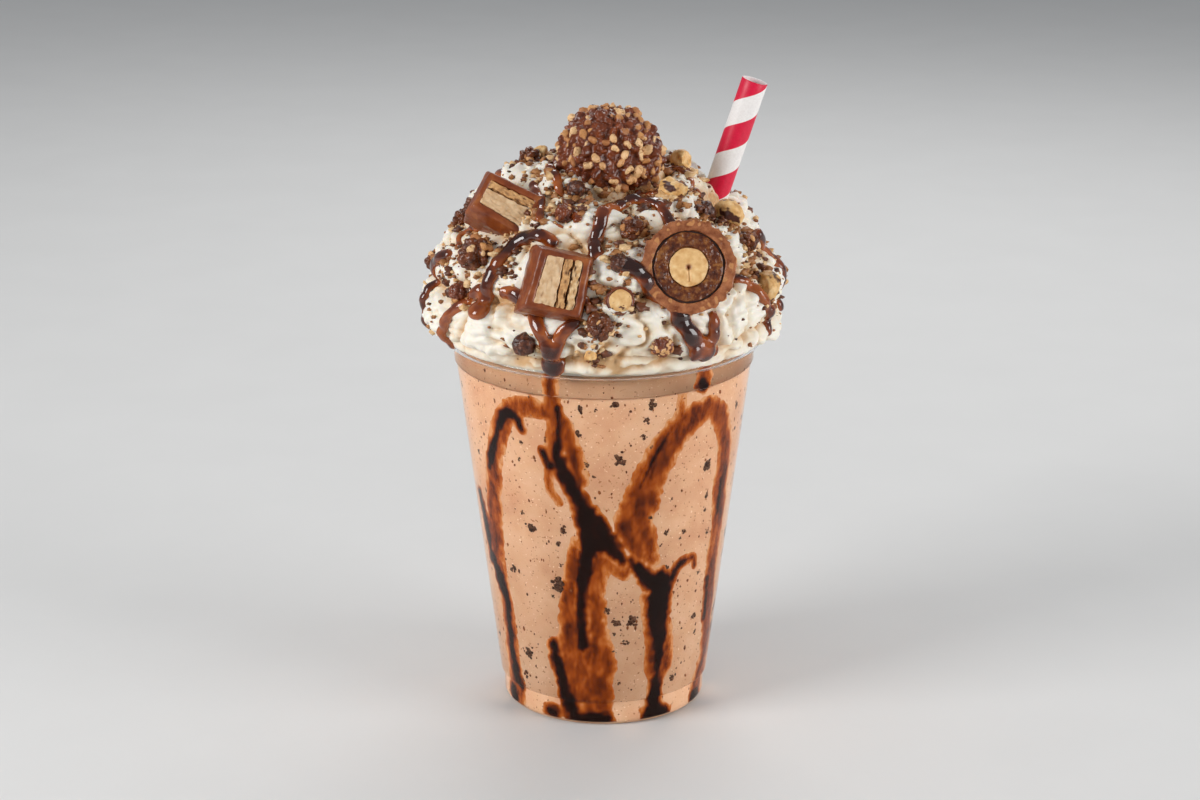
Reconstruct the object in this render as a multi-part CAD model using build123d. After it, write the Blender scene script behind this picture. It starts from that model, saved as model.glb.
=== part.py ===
"""Chocolate milkshake in a clear cup, under a piped whipped cream crown with toppings.

Millimetres, +Z up. The origin is the centre of the cup's foot, on the surface that it stands on.
The straw leans towards +X, and the front of the drink faces -Y.
"""

from build123d import *
import os
from math import cos, pi, radians, sin, sqrt, tan

# ---------------------------------------------------------------- cup, thermoformed, with rolled rim
rim_diameter = 98.0
cup_height = 120.0
cup_wall = 0.5
rim_bead_diameter = 3.4
rim_curl_gap = 60.0  # degrees of the curl left open, low on its inner side
rim_curl_end = 205.0  # where the gap starts, in degrees from outwards
band_height = 9.4  # nearly upright band under the rim
band_taper = 0.2
ledge_step = 0.6  # small outward step at the foot of the band
foot_diameter = 62.6
foot_fillet = 2.0
foot_ring_width = 4.6
punt_height = 3.0  # how far the floor stands above the foot
step_height = 8.0  # stacking step above the foot
step_width = 0.9
step_draft = 0.3
floor_fillet = 1.0
foot_inner_fillet = 0.5
step_fillet = 0.35
band_fillet = 0.3

# ---------------------------------------------------------------- shake and straw
shake_below_rim = 2.5
straw_diameter = 8.0
straw_wall = 0.4
straw_lean = 18.0  # degrees from upright, towards +X
straw_above_rim = 74.5  # height of the middle of its mouth over the rim
straw_mouth_x = 45.3
straw_back = 6.0  # how far behind the cup's middle it stands
straw_floor_gap = 0.1

# ---------------------------------------------------------------- whipped cream crown
cream_overhang = 4.5  # how far the widest ring stands out past the rim
cream_height = 53.0  # over the rim
cream_belly = 6.0  # height of the widest ring over the rim
cream_tuck = 3.5  # how far the underside draws in at the rim
cream_foot = 0.6  # how far the crown's edge reaches down past the top of the rim
swirl_pitch = 17.0  # rise of the piped rope in one turn
swirl_depth = 1.9
star_lobes = 10
star_depth = 1.0
star_twist = 2.4  # degrees for each millimetre of rise
crown_points = 50
crown_rings = 15
crown_top_share = 0.9  # of the dome's quarter turn: closed flat here, under the whole praline

# ---------------------------------------------------------------- pralines
praline_radius = 15.6
praline_at = (1.5, -3.0)  # x, y
praline_below_crown = 0.3  # depth of its middle under the dome's full height
praline_nuts = 84
praline_nut_bit = 1.6  # how far a bit of nut stands out
praline_nuts_cover = 0.47  # share of its height that the nuts cover, from the top
praline_facets = 48
half_praline_at = (297.9, 0.5811, 5.4)  # azimuth, share of the crown's height, and how far proud
half_praline_radius = 13.4
half_praline_shell = 2.9
half_praline_wafer = 0.7
half_praline_nut = 5.8
half_praline_facing = (272.0, 20.0)  # azimuth and upward tilt of the cut face
half_praline_nuts = 64
half_praline_nut_bit = 1.1
half_praline_facets = 36

# ---------------------------------------------------------------- coated wafer bar, cut into pieces
bar_height = 17.0
bar_flare = 1.4  # how much the cream side leans out at the base of its section
bar_coat = 2.1
bar_coat_ends = 1.5
bar_cream = 4.8
bar_wafer = 2.6
bar_joint = 0.25  # chocolate line between two layers
bar_edge = 1.2
bar_swell = 1.6  # how much thicker all round the bar grows behind its cut face
bar_swell_depth = 4.5  # how far behind the cut face it is at its thickest
bar_piece_length = 13.0

# Name: azimuth, share of the crown's height, how far the face stands proud, facing azimuth,
# tilt, roll, number of wafers.
wafer_pieces = {
    "wafer_bar_upper": (222.5, 0.8510, 7.4, 277.0, 34.0, 60.5, 1),
    "wafer_bar_lower": (256.5, 0.5228, 3.6, 280.0, 20.0, -14.7, 2),
}

# Name: azimuth, share of the crown's height, how far the middle stands proud, radius.
crisp_pearls = {
    "pearl_front_left": (244.9, 0.1604, 0.9, 3.5),
    "pearl_top": (251.1, 0.9113, 1.2, 2.9),
    "pearl_middle": (275.4, 0.6038, 0.6, 2.9),
    "pearl_shoulder": (326.6, 0.7698, 0.8, 3.2),
    "pearl_back": (62.0, 0.4528, 0.6, 3.2),
}
nut_pearls = {
    "nut_pearl_front_right": (288.4, 0.1566, 1.0, 4.0),
    "nut_pearl_left": (213.6, 0.3472, 0.8, 3.8),
    "nut_pearl_top": (251.3, 0.8132, 1.0, 3.7),
    "nut_pearl_back": (118.0, 0.283, 0.8, 3.9),
}
crunch_clusters = {
    "cluster_left": (219.8, 0.5736, 1.6, 5.6),
    "cluster_front": (268.8, 0.2811, 0.9, 4.3),
    "cluster_middle": (283.1, 0.7453, 0.8, 4.0),
    "cluster_right": (335.1, 0.5811, 0.8, 3.6),
    "cluster_left_edge": (180.0, 0.3774, 1.0, 3.8),
    "cluster_left_shoulder": (183.0, 0.6321, 0.8, 3.7),
    "cluster_left_top": (172.0, 0.9623, 7.2, 3.7),
    "cluster_back_low": (93.0, 0.3019, 1.0, 4.4),
    "cluster_back_right": (38.0, 0.566, 0.8, 4.8),
    "cluster_back_left": (142.0, 0.6415, 0.8, 4.6),
}
nut_chunks = {
    "nut_chunk_front_low": (265.3, 0.1133, 0.6, 2.5),
    "nut_chunk_left_top": (162.5, 0.975, 7.4, 2.8),
    "nut_chunk_right": (337.3, 0.7226, 0.8, 4.7),
    "nut_chunk_right_edge": (337.1, 0.3321, 0.8, 5.0),
    "nut_chunk_right_top": (4.0, 0.9623, 7.4, 3.5),
    "nut_chunk_front_top": (316.8, 0.8925, 1.2, 4.2),
    "nut_chunk_back": (100.0, 0.7547, 0.8, 4.4),
    "nut_chunk_back_edge": (12.0, 0.2264, 0.8, 4.0),
}
nut_pearl_bit = 0.16  # share of the pearl's radius that a bit of nut stands out
nut_pearl_bits = 18
nut_pearl_facets = 16
half_nut_at = (275.2, 0.4113, 1.2)  # azimuth, share of the crown's height, and how far proud
half_nut_radius = 3.3
half_nut_coat = 0.8
half_nut_facing = (278.0, 20.0)

# The shape of a crunch cluster: knobs on a core, as shares of its radius.
cluster_core = 0.72
cluster_knobs = 11
cluster_knob = 0.36
cluster_knob_change = 0.07

# Where a nut chunk broke: azimuth, tilt, and distance from its middle as a share of its radius.
nut_breaks = ((20, 35, 0.55), (150, 20, 0.6), (265, 50, 0.65))

golden_turn = pi * (3.0 - sqrt(5.0))

# Derived sizes of the cup.
rim_radius = rim_diameter / 2
bead_radius = rim_bead_diameter / 2
bead_middle = (rim_radius - bead_radius, cup_height - bead_radius)
neck_radius = rim_radius - rim_bead_diameter + cup_wall
band_radius = neck_radius - band_taper
foot_radius = foot_diameter / 2
shake_level = cup_height - shake_below_rim


# ---------------------------------------------------------------- cup
def inset_points(points, depth):
    """The corners of a line of straight runs, moved to its left by depth, each corner mitred."""
    normals = []
    for (r0, z0), (r1, z1) in zip(points, points[1:]):
        run = sqrt((r1 - r0) ** 2 + (z1 - z0) ** 2)
        normals.append(((z0 - z1) / run, (r1 - r0) / run))
    moved = []
    for i, (r, z) in enumerate(points):
        a = normals[max(i - 1, 0)]
        b = normals[min(i, len(normals) - 1)]
        share = depth / (1 + a[0] * b[0] + a[1] * b[1])
        moved.append((r + (a[0] + b[0]) * share, z + (a[1] + b[1]) * share))
    return moved


def cup_region(depth, top):
    """Half section inside the cup's outer surface moved in by depth, closed at the height top."""
    corners = [
        (0, punt_height),
        (foot_radius - foot_ring_width - punt_height / 2, punt_height),
        (foot_radius - foot_ring_width, 0),
        (foot_radius, 0),
        (foot_radius + step_draft, step_height),
        (foot_radius + step_draft + step_width, step_height + step_width / 2),
        (band_radius - ledge_step, cup_height - band_height - ledge_step),
        (band_radius, cup_height - band_height),
        (neck_radius, bead_middle[1]),
    ]
    corners = inset_points(corners, depth)
    corners[0] = (0, corners[0][1])
    corners[-1] = (corners[-1][0], top)
    inner_turn = max(foot_fillet - depth, cup_wall / 2)
    radii = [floor_fillet, foot_inner_fillet, inner_turn] + 2 * [step_fillet] + 2 * [band_fillet]
    wall = FilletPolyline(*corners, radius=radii)
    cap = Polyline(corners[-1], (0, top), corners[0])
    return Plane.XZ * make_face(wall + cap)


def bead_region(radius):
    return Plane.XZ * (Pos(*bead_middle) * Circle(radius))


def make_cup():
    """A clear plastic wall, with its rim rolled outwards into an open curl."""
    wall = cup_region(0, bead_middle[1]) - cup_region(cup_wall, cup_height)
    curl = bead_region(bead_radius) - bead_region(bead_radius - cup_wall)
    gap_start = radians(rim_curl_end)
    gap_end = gap_start + radians(rim_curl_gap)
    reach = rim_bead_diameter
    wedge = Polyline(
        (0, 0),
        (reach * cos(gap_start), reach * sin(gap_start)),
        (reach * cos(gap_end), reach * sin(gap_end)),
        close=True,
    )
    curl -= Plane.XZ * (Pos(*bead_middle) * make_face(wedge))
    return revolve(wall + curl, Axis.Z)


# ---------------------------------------------------------------- straw
def straw_place():
    """The straw's foot and its length: it stands on the cup's floor, on its lower edge."""
    lean = radians(straw_lean)
    foot_z = punt_height + cup_wall + straw_floor_gap + straw_diameter / 2 * sin(lean)
    rise = cup_height + straw_above_rim - foot_z
    foot = Vector(straw_mouth_x - rise * tan(lean), straw_back, foot_z)
    return foot, rise / cos(lean)


def straw_rod(radius):
    foot, length = straw_place()
    lean = radians(straw_lean)
    stand = Plane(origin=foot, x_dir=(cos(lean), 0, -sin(lean)), z_dir=(sin(lean), 0, cos(lean)))
    return stand * Cylinder(radius, length, align=(Align.CENTER, Align.CENTER, Align.MIN))


def make_straw():
    return straw_rod(straw_diameter / 2) - straw_rod(straw_diameter / 2 - straw_wall)


# ---------------------------------------------------------------- shake
def make_shake(straw):
    """The drink up to its level, inside the straw too, with the straw's paper wall cut out."""
    cavity = revolve(cup_region(cup_wall, cup_height), Axis.Z)
    above = Pos(0, 0, shake_level) * Box(
        rim_diameter, rim_diameter, rim_diameter, align=(Align.CENTER, Align.CENTER, Align.MIN)
    )
    return cavity - above - straw


# ---------------------------------------------------------------- whipped cream crown
def crown_radius(rise):
    """The crown's middle radius at a height over the rim: a dome on a tucked-in underside."""
    widest = rim_radius + cream_overhang
    if rise < cream_belly:
        below = (cream_belly - rise) / (cream_belly + cream_foot)
        return widest - cream_tuck * below**2
    share = min((rise - cream_belly) / (cream_height - cream_belly), 1.0)
    return widest * sqrt(1 - share**2)


def piped_radius(rise, turn):
    """The crown's radius with the ridges of the piped rope and of the star nozzle."""
    middle = crown_radius(rise)
    fade = middle / (rim_radius + cream_overhang)
    rope = swirl_depth * cos(2 * pi * rise / swirl_pitch - turn)
    star = star_depth * cos(star_lobes * (turn + radians(star_twist * rise)))
    return middle + fade * (rope + star)


def faceted(rings):
    """A closed solid through rings of as many points each. The two end rings are level, or a point."""
    faces = []
    count = max(len(ring) for ring in rings)
    for ring in (rings[0], rings[-1]):
        if len(ring) > 1:
            faces.append(Face(Wire.make_polygon(ring, close=True)))
    for low, high in zip(rings, rings[1:]):
        for i in range(count):
            j = (i + 1) % count
            if len(low) > 1:
                faces.append(Face(Wire.make_polygon([low[i], low[j], high[j % len(high)]])))
            if len(high) > 1:
                faces.append(Face(Wire.make_polygon([low[i % len(low)], high[j], high[i]])))
    return Solid(Shell(faces))


def crown_ring(rise):
    ring = []
    for i in range(crown_points):
        turn = 2 * pi * i / crown_points
        radius = piped_radius(rise, turn)
        ring.append(Vector(radius * cos(turn), radius * sin(turn), cup_height + rise))
    return ring


def make_crown():
    """The whole piped mound, before anything is pressed into it."""
    belly = [-cream_foot, cream_belly * 0.3]
    dome = cream_height - cream_belly
    top = radians(90) * crown_top_share
    steps = crown_rings - len(belly)
    rises = belly + [cream_belly + dome * sin(top * i / (steps - 1)) for i in range(steps)]
    mound = faceted([crown_ring(rise) for rise in rises])
    plug = revolve(cup_region(cup_wall, cup_height), Axis.Z)
    below = Box(
        rim_diameter, rim_diameter, shake_level, align=(Align.CENTER, Align.CENTER, Align.MIN)
    )
    outside = revolve(cup_region(0, bead_middle[1]), Axis.Z) - plug
    rim = revolve(bead_region(bead_radius), Axis.Z)
    return mound + (plug - below) - outside - rim


def on_crown(azimuth, share, proud):
    """A point proud of the crown's surface by the given amount, at a share of the crown's height."""
    turn = radians(azimuth)
    rise = share * cream_height
    radius = piped_radius(rise, turn) + proud
    return Vector(radius * cos(turn), radius * sin(turn), cup_height + rise)


def facing(middle, azimuth, tilt, roll=0.0):
    """A plane at middle, whose normal looks along azimuth and up by tilt, and is rolled by roll."""
    a = radians(azimuth)
    t = radians(tilt)
    normal = Vector(cos(t) * cos(a), cos(t) * sin(a), sin(t))
    level = Vector(-sin(a), cos(a), 0)
    upward = normal.cross(level)
    along = level * cos(radians(roll)) + upward * sin(radians(roll))
    return Plane(origin=middle, x_dir=along, z_dir=normal)


def spread(count, last=1.0):
    """Directions spread evenly over a ball by the golden angle, from its top down to last."""
    for i in range(int(count * last)):
        height = 1 - 2 * (i + 0.5) / count
        level = sqrt(1 - height**2)
        yield Vector(level * cos(golden_turn * i), level * sin(golden_turn * i), height)


# ---------------------------------------------------------------- pralines
def nutty_ball(radius, bit_size, bits, around, covered=1.0):
    """A ball of flat facets, set with bits of chopped nut from its top down to a covered share."""
    ways = list(spread(bits, last=covered))
    rings = [[Vector(0, 0, radius)]]
    for row in range(1, around // 2):
        down = 2 * pi * row / around
        ring = []
        for i in range(around):
            turn = 2 * pi * (i + row % 2 / 2) / around
            way = Vector(sin(down) * cos(turn), sin(down) * sin(turn), cos(down))
            nearest = max(way.dot(bit) for bit in ways)
            away = radius * sqrt(max(0.0, 2 - 2 * nearest)) / bit_size
            ring.append(way * (radius + bit_size * max(0.0, 1 - away**2)))
        rings.append(ring)
    rings.append([Vector(0, 0, -radius)])
    return faceted(rings[::-1])


def make_praline():
    """A ball set with chopped nuts. Its underside, pressed into the cream, is left plain."""
    x, y = praline_at
    place = Pos(x, y, cup_height + cream_height - praline_below_crown)
    ball = nutty_ball(praline_radius, praline_nut_bit, praline_nuts, praline_facets, praline_nuts_cover)
    return place * ball, place * Sphere(praline_radius)


def half_praline_parts():
    """Half of a praline, cut face outwards: nutty shell, thin wafer, filling and a whole nut."""
    azimuth, tilt = half_praline_facing
    seat = facing(on_crown(*half_praline_at), azimuth, tilt)
    outer = half_praline_radius + half_praline_nut_bit
    front = Box(3 * outer, 3 * outer, outer, align=(Align.CENTER, Align.CENTER, Align.MIN))
    wafer_radius = half_praline_radius - half_praline_shell
    filling_radius = wafer_radius - half_praline_wafer
    whole = nutty_ball(
        half_praline_radius, half_praline_nut_bit, half_praline_nuts, half_praline_facets
    )
    parts = {
        "half_praline_shell": whole - Sphere(wafer_radius) - front,
        "half_praline_wafer": Sphere(wafer_radius) - Sphere(filling_radius) - front,
        "half_praline_filling": Sphere(filling_radius) - Sphere(half_praline_nut) - front,
        "half_praline_nut": Sphere(half_praline_nut) - front,
    }
    return {name: seat * part for name, part in parts.items()}, seat * (Sphere(outer) - front)


# ---------------------------------------------------------------- wafer bar pieces
def bar_section(width, swell, depth):
    """The bar's outline, thicker all round by swell, at a depth behind the cut face."""
    side = width / 2 + swell
    half = bar_height / 2 + swell
    outline = Polyline(
        (-side - bar_flare, -half), (side, -half), (side, half), (-side, half), close=True
    )
    section = fillet(make_face(outline).vertices(), bar_edge + swell)
    return Pos(0, 0, -depth) * section


def wafer_piece_parts(name, azimuth, share, proud, face_azimuth, tilt, roll, wafers):
    """A cut piece of a coated bar: thick cream and its wafers show between the coat's sides."""
    seat = facing(on_crown(azimuth, share, proud), face_azimuth, tilt, roll)
    width = 2 * bar_coat + bar_cream + wafers * (bar_wafer + bar_joint)
    thickest = bar_section(width, bar_swell, bar_swell_depth)
    bar = loft([bar_section(width, 0, 0), thickest], ruled=True)
    bar += extrude(thickest, bar_swell_depth - bar_piece_length)

    inside = bar_height / 2 - bar_coat_ends
    depth = bar_piece_length - bar_coat_ends
    start = bar_coat - width / 2
    layers = {}
    slabs = [("cream", bar_cream)] + [(f"wafer_{i + 1}", bar_wafer) for i in range(wafers)]
    for layer, thickness in slabs:
        lean = bar_flare if layer == "cream" else 0
        edge = Polyline(
            (start - lean, -inside),
            (start + thickness, -inside),
            (start + thickness, inside),
            (start, inside),
            close=True,
        )
        layers[layer] = extrude(make_face(edge), -depth)
        start += thickness + bar_joint
    parts = {f"{name}_coat": seat * (bar - list(layers.values()))}
    for layer, solid in layers.items():
        parts[f"{name}_{layer}"] = seat * solid
    return parts, seat * bar


# ---------------------------------------------------------------- small toppings
def make_crisp_pearl(radius):
    return Sphere(radius)


def make_nut_pearl(radius):
    """A small ball rolled in fine nuts."""
    bit = radius * nut_pearl_bit
    return nutty_ball(radius - bit, bit, nut_pearl_bits, nut_pearl_facets)


def make_cluster(radius):
    """A knobbly crunch of chocolate and nuts."""
    knobs = []
    for i, way in enumerate(spread(cluster_knobs)):
        size = radius * (cluster_knob + cluster_knob_change * cos(2.1 * i))
        knobs.append(Pos(*(way * (radius - size))) * Sphere(size))
    return Sphere(radius * cluster_core) + knobs


def make_nut_chunk(radius):
    """A broken nut: part of its round skin, and three faces where it broke."""
    chunk = Sphere(radius)
    for azimuth, tilt, share in nut_breaks:
        break_plane = facing(Vector(0, 0, 0), azimuth, tilt)
        block = Box(3 * radius, 3 * radius, radius, align=(Align.CENTER, Align.CENTER, Align.MIN))
        chunk -= break_plane * (Pos(0, 0, radius * share) * block)
    return chunk


def half_nut_parts():
    """Half a chocolate coated nut, cut face outwards."""
    azimuth, tilt = half_nut_facing
    seat = facing(on_crown(*half_nut_at), azimuth, tilt)
    outer = half_nut_radius + half_nut_coat
    front = Box(3 * outer, 3 * outer, outer, align=(Align.CENTER, Align.CENTER, Align.MIN))
    front = Pos(0, 0, half_nut_coat) * front
    parts = {
        "half_nut_coat": Sphere(outer) - Sphere(half_nut_radius) - front,
        "half_nut_core": Sphere(half_nut_radius) - front,
    }
    return {name: seat * part for name, part in parts.items()}, seat * (Sphere(outer) - front)


def small_toppings():
    """Name, solid and the plain ball that it fills, for each."""
    makers = (
        (crisp_pearls, make_crisp_pearl),
        (nut_pearls, make_nut_pearl),
        (crunch_clusters, make_cluster),
        (nut_chunks, make_nut_chunk),
    )
    for table, make in makers:
        for name, (azimuth, share, proud, radius) in table.items():
            place = Pos(*on_crown(azimuth, share, proud))
            turned = Rotation(azimuth, share * 360, azimuth * 3) * make(radius)
            yield name, place * turned, place * Sphere(radius)


# ---------------------------------------------------------------- fitting the pieces together
def rest_against(piece, placed):
    """The piece where it lies against those placed before it: what they take up is cut from it."""
    touching = [other for other in placed if piece.distance_to(other) == 0]
    if not touching:
        return piece
    rest = piece - touching
    return max(rest.solids(), key=lambda solid: solid.volume)


def make_all():
    """Every node by name, each cut to fit those that it is pressed into."""
    nodes = {"cup": make_cup(), "straw": make_straw()}
    nodes["shake"] = make_shake(nodes["straw"])
    pressed_in = [straw_rod(straw_diameter / 2)]

    nodes["praline"], seat = make_praline()
    pressed_in.append(seat)
    large_pieces = [half_praline_parts(), half_nut_parts()]
    large_pieces += [wafer_piece_parts(name, *place) for name, place in wafer_pieces.items()]
    for parts, blank in large_pieces:
        nodes.update(parts)
        pressed_in.append(blank)

    for name, topping, seat in small_toppings():
        nodes[name] = rest_against(topping, pressed_in)
        pressed_in.append(seat)

    cream = make_crown() - pressed_in
    nodes["cream"] = max(cream.solids(), key=lambda solid: solid.volume)
    return nodes


def main():
    os.makedirs("parts", exist_ok=True)
    for name, shape in make_all().items():
        export_step(shape, f"parts/{name}.step")
        print(f"{name}: {shape.volume:.1f} mm3")


if __name__ == "__main__":
    main()
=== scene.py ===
# %% [markdown]
# # A chocolate milkshake, from its cup to the last crumb
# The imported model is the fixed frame. Every piece below is made in the same place, in metres,
# with its object at the origin, so that it lies where the CAD solid that it stands for lies.
# Shapes are worked out in millimetres, and one helper turns them into metres.

from math import cos, degrees, pi, radians, sin, sqrt

import bpy
import numpy as np
from mathutils import Matrix, Vector, noise
from mathutils.bvhtree import BVHTree


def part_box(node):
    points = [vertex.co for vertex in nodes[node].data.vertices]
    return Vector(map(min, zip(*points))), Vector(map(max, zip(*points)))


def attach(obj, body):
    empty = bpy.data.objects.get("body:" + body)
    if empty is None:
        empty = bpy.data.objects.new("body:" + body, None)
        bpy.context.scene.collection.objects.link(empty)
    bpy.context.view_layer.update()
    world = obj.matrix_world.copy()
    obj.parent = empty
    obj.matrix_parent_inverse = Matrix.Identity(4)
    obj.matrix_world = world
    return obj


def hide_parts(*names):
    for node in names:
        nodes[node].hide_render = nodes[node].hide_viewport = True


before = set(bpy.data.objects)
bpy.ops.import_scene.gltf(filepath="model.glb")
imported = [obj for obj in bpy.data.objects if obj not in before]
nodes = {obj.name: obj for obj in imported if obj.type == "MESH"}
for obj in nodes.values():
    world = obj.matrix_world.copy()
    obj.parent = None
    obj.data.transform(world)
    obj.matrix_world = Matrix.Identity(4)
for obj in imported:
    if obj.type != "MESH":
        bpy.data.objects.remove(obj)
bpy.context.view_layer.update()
MM = 0.001

# %% [markdown]
# ## Helpers
# An operator acts on all that is selected, so a piece is always picked alone first.
# Modifiers are applied as soon as they have done their work, which leaves a plain mesh.


# %% Picking a piece, and applying its modifiers
def deselect():
    for other in bpy.context.selected_objects:
        other.select_set(False)
    bpy.context.view_layer.objects.active = None


def pick(piece):
    deselect()
    piece.select_set(True)
    bpy.context.view_layer.objects.active = piece


def mode(name):
    bpy.ops.object.mode_set(mode=name)


def select_all(action="SELECT"):
    bpy.ops.mesh.select_all(action=action)


def apply_modifier(piece, kind, **settings):
    """Adds a modifier with its settings, and applies it."""
    modifier = piece.modifiers.new(kind, kind)
    for key, value in settings.items():
        setattr(modifier, key, value)
    pick(piece)
    bpy.ops.object.modifier_apply(modifier=modifier.name)
    return piece


def join(name, pieces):
    pick(pieces[0])
    for piece in pieces[1:]:
        piece.select_set(True)
    bpy.ops.object.join()
    pieces[0].name = name
    return pieces[0]


def put(piece, place):
    """Moves a piece's mesh by a matrix, and leaves the object at the origin."""
    piece.data.transform(place @ piece.matrix_basis)
    piece.matrix_basis = Matrix.Identity(4)
    piece.data.update()
    return piece


def finish_piece(piece, name, material, replaces=(), flip=True):
    """Smooth faces that point outwards, a finish, a name, and its place in the frame."""
    piece.name = name
    piece.data.name = name
    pick(piece)
    mode("EDIT")
    select_all()
    if flip:
        bpy.ops.mesh.normals_make_consistent(inside=False)
    select_all("DESELECT")
    mode("OBJECT")
    bpy.ops.object.shade_smooth()
    piece.data.materials.clear()
    piece.data.materials.append(material)
    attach(piece, "root")
    if replaces:
        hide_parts(*replaces)
    faces = sum(len(face.vertices) - 2 for face in piece.data.polygons)
    print(f"{name}: {faces} triangles")
    return piece


# %% [markdown]
# Cream, nuts and sauce have no straight edges, so their meshes are worked out point by point.
# Most are rings of points, one above the other, joined by quads and closed at both ends.


# %% Meshes from points in millimetres
def mesh_piece(name, points, faces, edges=()):
    mesh = bpy.data.meshes.new(name)
    mesh.from_pydata((np.asarray(points, float) * MM).tolist(), edges, faces)
    piece = bpy.data.objects.new(name, mesh)
    bpy.context.scene.collection.objects.link(piece)
    return piece


def ring_faces(rows, columns):
    faces = []
    for row in range(rows - 1):
        for i in range(columns):
            j = (i + 1) % columns
            low = row * columns
            faces.append((low + i, low + j, low + columns + j, low + columns + i))
    return faces


def rings_piece(name, rings, ends=True):
    """Rings is an array of rows, columns and coordinates. Each end closes on its middle."""
    rings = np.asarray(rings, float)
    rows, columns = rings.shape[:2]
    points = rings.reshape(-1, 3)
    faces = ring_faces(rows, columns)
    if ends:
        points = np.vstack([points, rings[0].mean(0), rings[-1].mean(0)])
        first = rows * columns
        last = first + 1
        for i in range(columns):
            j = (i + 1) % columns
            faces.append((first, j, i))
            faces.append((last, (rows - 1) * columns + i, (rows - 1) * columns + j))
    return mesh_piece(name, points, faces)


def paint(piece, name, values):
    """A value for each point of the mesh, which a material can read."""
    layer = piece.data.attributes.new(name, "FLOAT", "POINT")
    layer.data.foreach_set("value", np.asarray(values, np.float32))


def vertex_values(piece, kind):
    flat = np.zeros(len(piece.data.vertices) * 3)
    piece.data.vertices.foreach_get(kind, flat)
    return flat.reshape(-1, 3)


def points_of(piece):
    """The points of a mesh, in millimetres."""
    return vertex_values(piece, "co") / MM


def set_points(piece, points):
    piece.data.vertices.foreach_set("co", (np.asarray(points) * MM).ravel())
    piece.data.update()


def soft_noise(points, size, seed=0):
    """Noise from about -1 to 1 at each point, with lumps of about size millimetres."""
    shift = np.array([7.31, 3.17, 5.93]) * (seed + 1)
    scaled = np.asarray(points) / size + shift
    return np.array([noise.noise(point) for point in scaled.tolist()])


def layered_noise(points, *layers):
    """A sum of noises, each given by its height, the size of its lumps, and its seed."""
    return sum(tall * soft_noise(points, size, seed) for tall, size, seed in layers)


def nearness(points, place, reach, power=2):
    """1 at a place, and falling softly to 0 beyond its reach."""
    return np.exp(-((np.linalg.norm(points - place, axis=1) / reach) ** power))


def fine_ball(fineness, radius=1.0):
    """A ball of near-equal triangles round the origin, its radius in millimetres."""
    deselect()
    bpy.ops.mesh.primitive_ico_sphere_add(subdivisions=fineness, radius=radius * MM)
    return bpy.context.active_object


def push_out(piece, up, shift=(0, 0, 0)):
    """Moves each point outwards along its normal, and the whole mesh by shift."""
    out = vertex_values(piece, "normal") * up[:, None]
    set_points(piece, points_of(piece) + out + shift)


def whole_turn(columns):
    return np.linspace(0, 2 * pi, columns, endpoint=False)


def ring(turns, radius, height):
    """Points round the z axis. The radius may differ from point to point."""
    return np.stack(
        [radius * np.cos(turns), radius * np.sin(turns), np.full(len(turns), height)], 1
    )


def nodes_named(start):
    """The CAD nodes of one kind, in order, each with its number."""
    return enumerate(sorted(name for name in nodes if name.startswith(start)))


def node_middle(name):
    """The middle of a CAD solid's box and half of its smallest side, in millimetres."""
    low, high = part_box(name)
    middle = (low + high) / 2 / MM
    return np.array(middle), min(high - low) / 2 / MM


# %% [markdown]
# ## Materials
# Colours are written as sRGB hex, as a colour picker shows them, and turned to linear once.
# One function, `add`, adds any node with its settings and links. A length in millimetres
# becomes a pattern scale through `per_mm`, because Object coordinates are in metres.


# %% Building a material
def linear(code):
    parts = [int(code[i : i + 2], 16) / 255 for i in (1, 3, 5)]
    curved = [c / 12.92 if c <= 0.04045 else ((c + 0.055) / 1.055) ** 2.4 for c in parts]
    return (*curved, 1.0)


def per_mm(size):
    return 1000.0 / size


def new_material(name):
    material = bpy.data.materials.new(name)
    material.use_nodes = True
    material.node_tree.nodes.clear()
    return material


def set_stops(elements, stops):
    """Gives a colour ramp its stops, each a position and a hex colour."""
    while len(elements) < len(stops):
        elements.new(0.5)
    for element, (position, code) in zip(elements, stops):
        element.position = position
        element.color = linear(code)


def add(material, kind, settings, output=0):
    """Adds a node, and gives back one of its outputs. Kind is its type after ShaderNode.
    Settings name properties or sockets; a socket takes a value or another node's output."""
    made = material.node_tree.nodes.new("ShaderNode" + kind)
    for key, value in settings.items():
        if key == "stops":
            set_stops(made.color_ramp.elements, value)
        elif isinstance(value, bpy.types.NodeSocket):
            material.node_tree.links.new(value, made.inputs[key])
        elif isinstance(key, str) and hasattr(made, key):
            setattr(made, key, value)
        else:
            made.inputs[key].default_value = linear(value) if isinstance(value, str) else value
    return made.outputs[output] if made.outputs else None


# %% What most finishes share
# A Mix node blends colours, and a Map Range node steps softly from 0 to 1, with these.
of_colours = {"data_type": "RGBA"}
soft_step = {"interpolation_type": "SMOOTHSTEP"}


def lumps(material, size, detail=3.0, roughness=0.5, stretch=1.0):
    """A pattern of soft lumps, about size millimetres wide and stretch times as tall."""
    place = add(material, "TexCoord", {}, "Object")
    if stretch != 1.0:
        place = add(material, "Mapping", {"Scale": (1.0, 1.0, 1.0 / stretch), "Vector": place})
    fineness = {"Scale": per_mm(size), "Detail": detail, "Roughness": roughness}
    return add(material, "TexNoise", {"Vector": place, **fineness})


def surface(material, colour, settings, height=None, relief=0.1, output=True):
    """The main shader, with a bump of relief millimetres from a height, and the output."""
    settings = {"Base Color": colour, **settings}
    if height is not None:
        bump = {"Strength": 1.0, "Distance": relief * MM, "Height": height}
        settings["Normal"] = add(material, "Bump", bump)
    shader = add(material, "BsdfPrincipled", settings)
    if output:
        add(material, "OutputMaterial", {"Surface": shader})
    return shader


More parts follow.
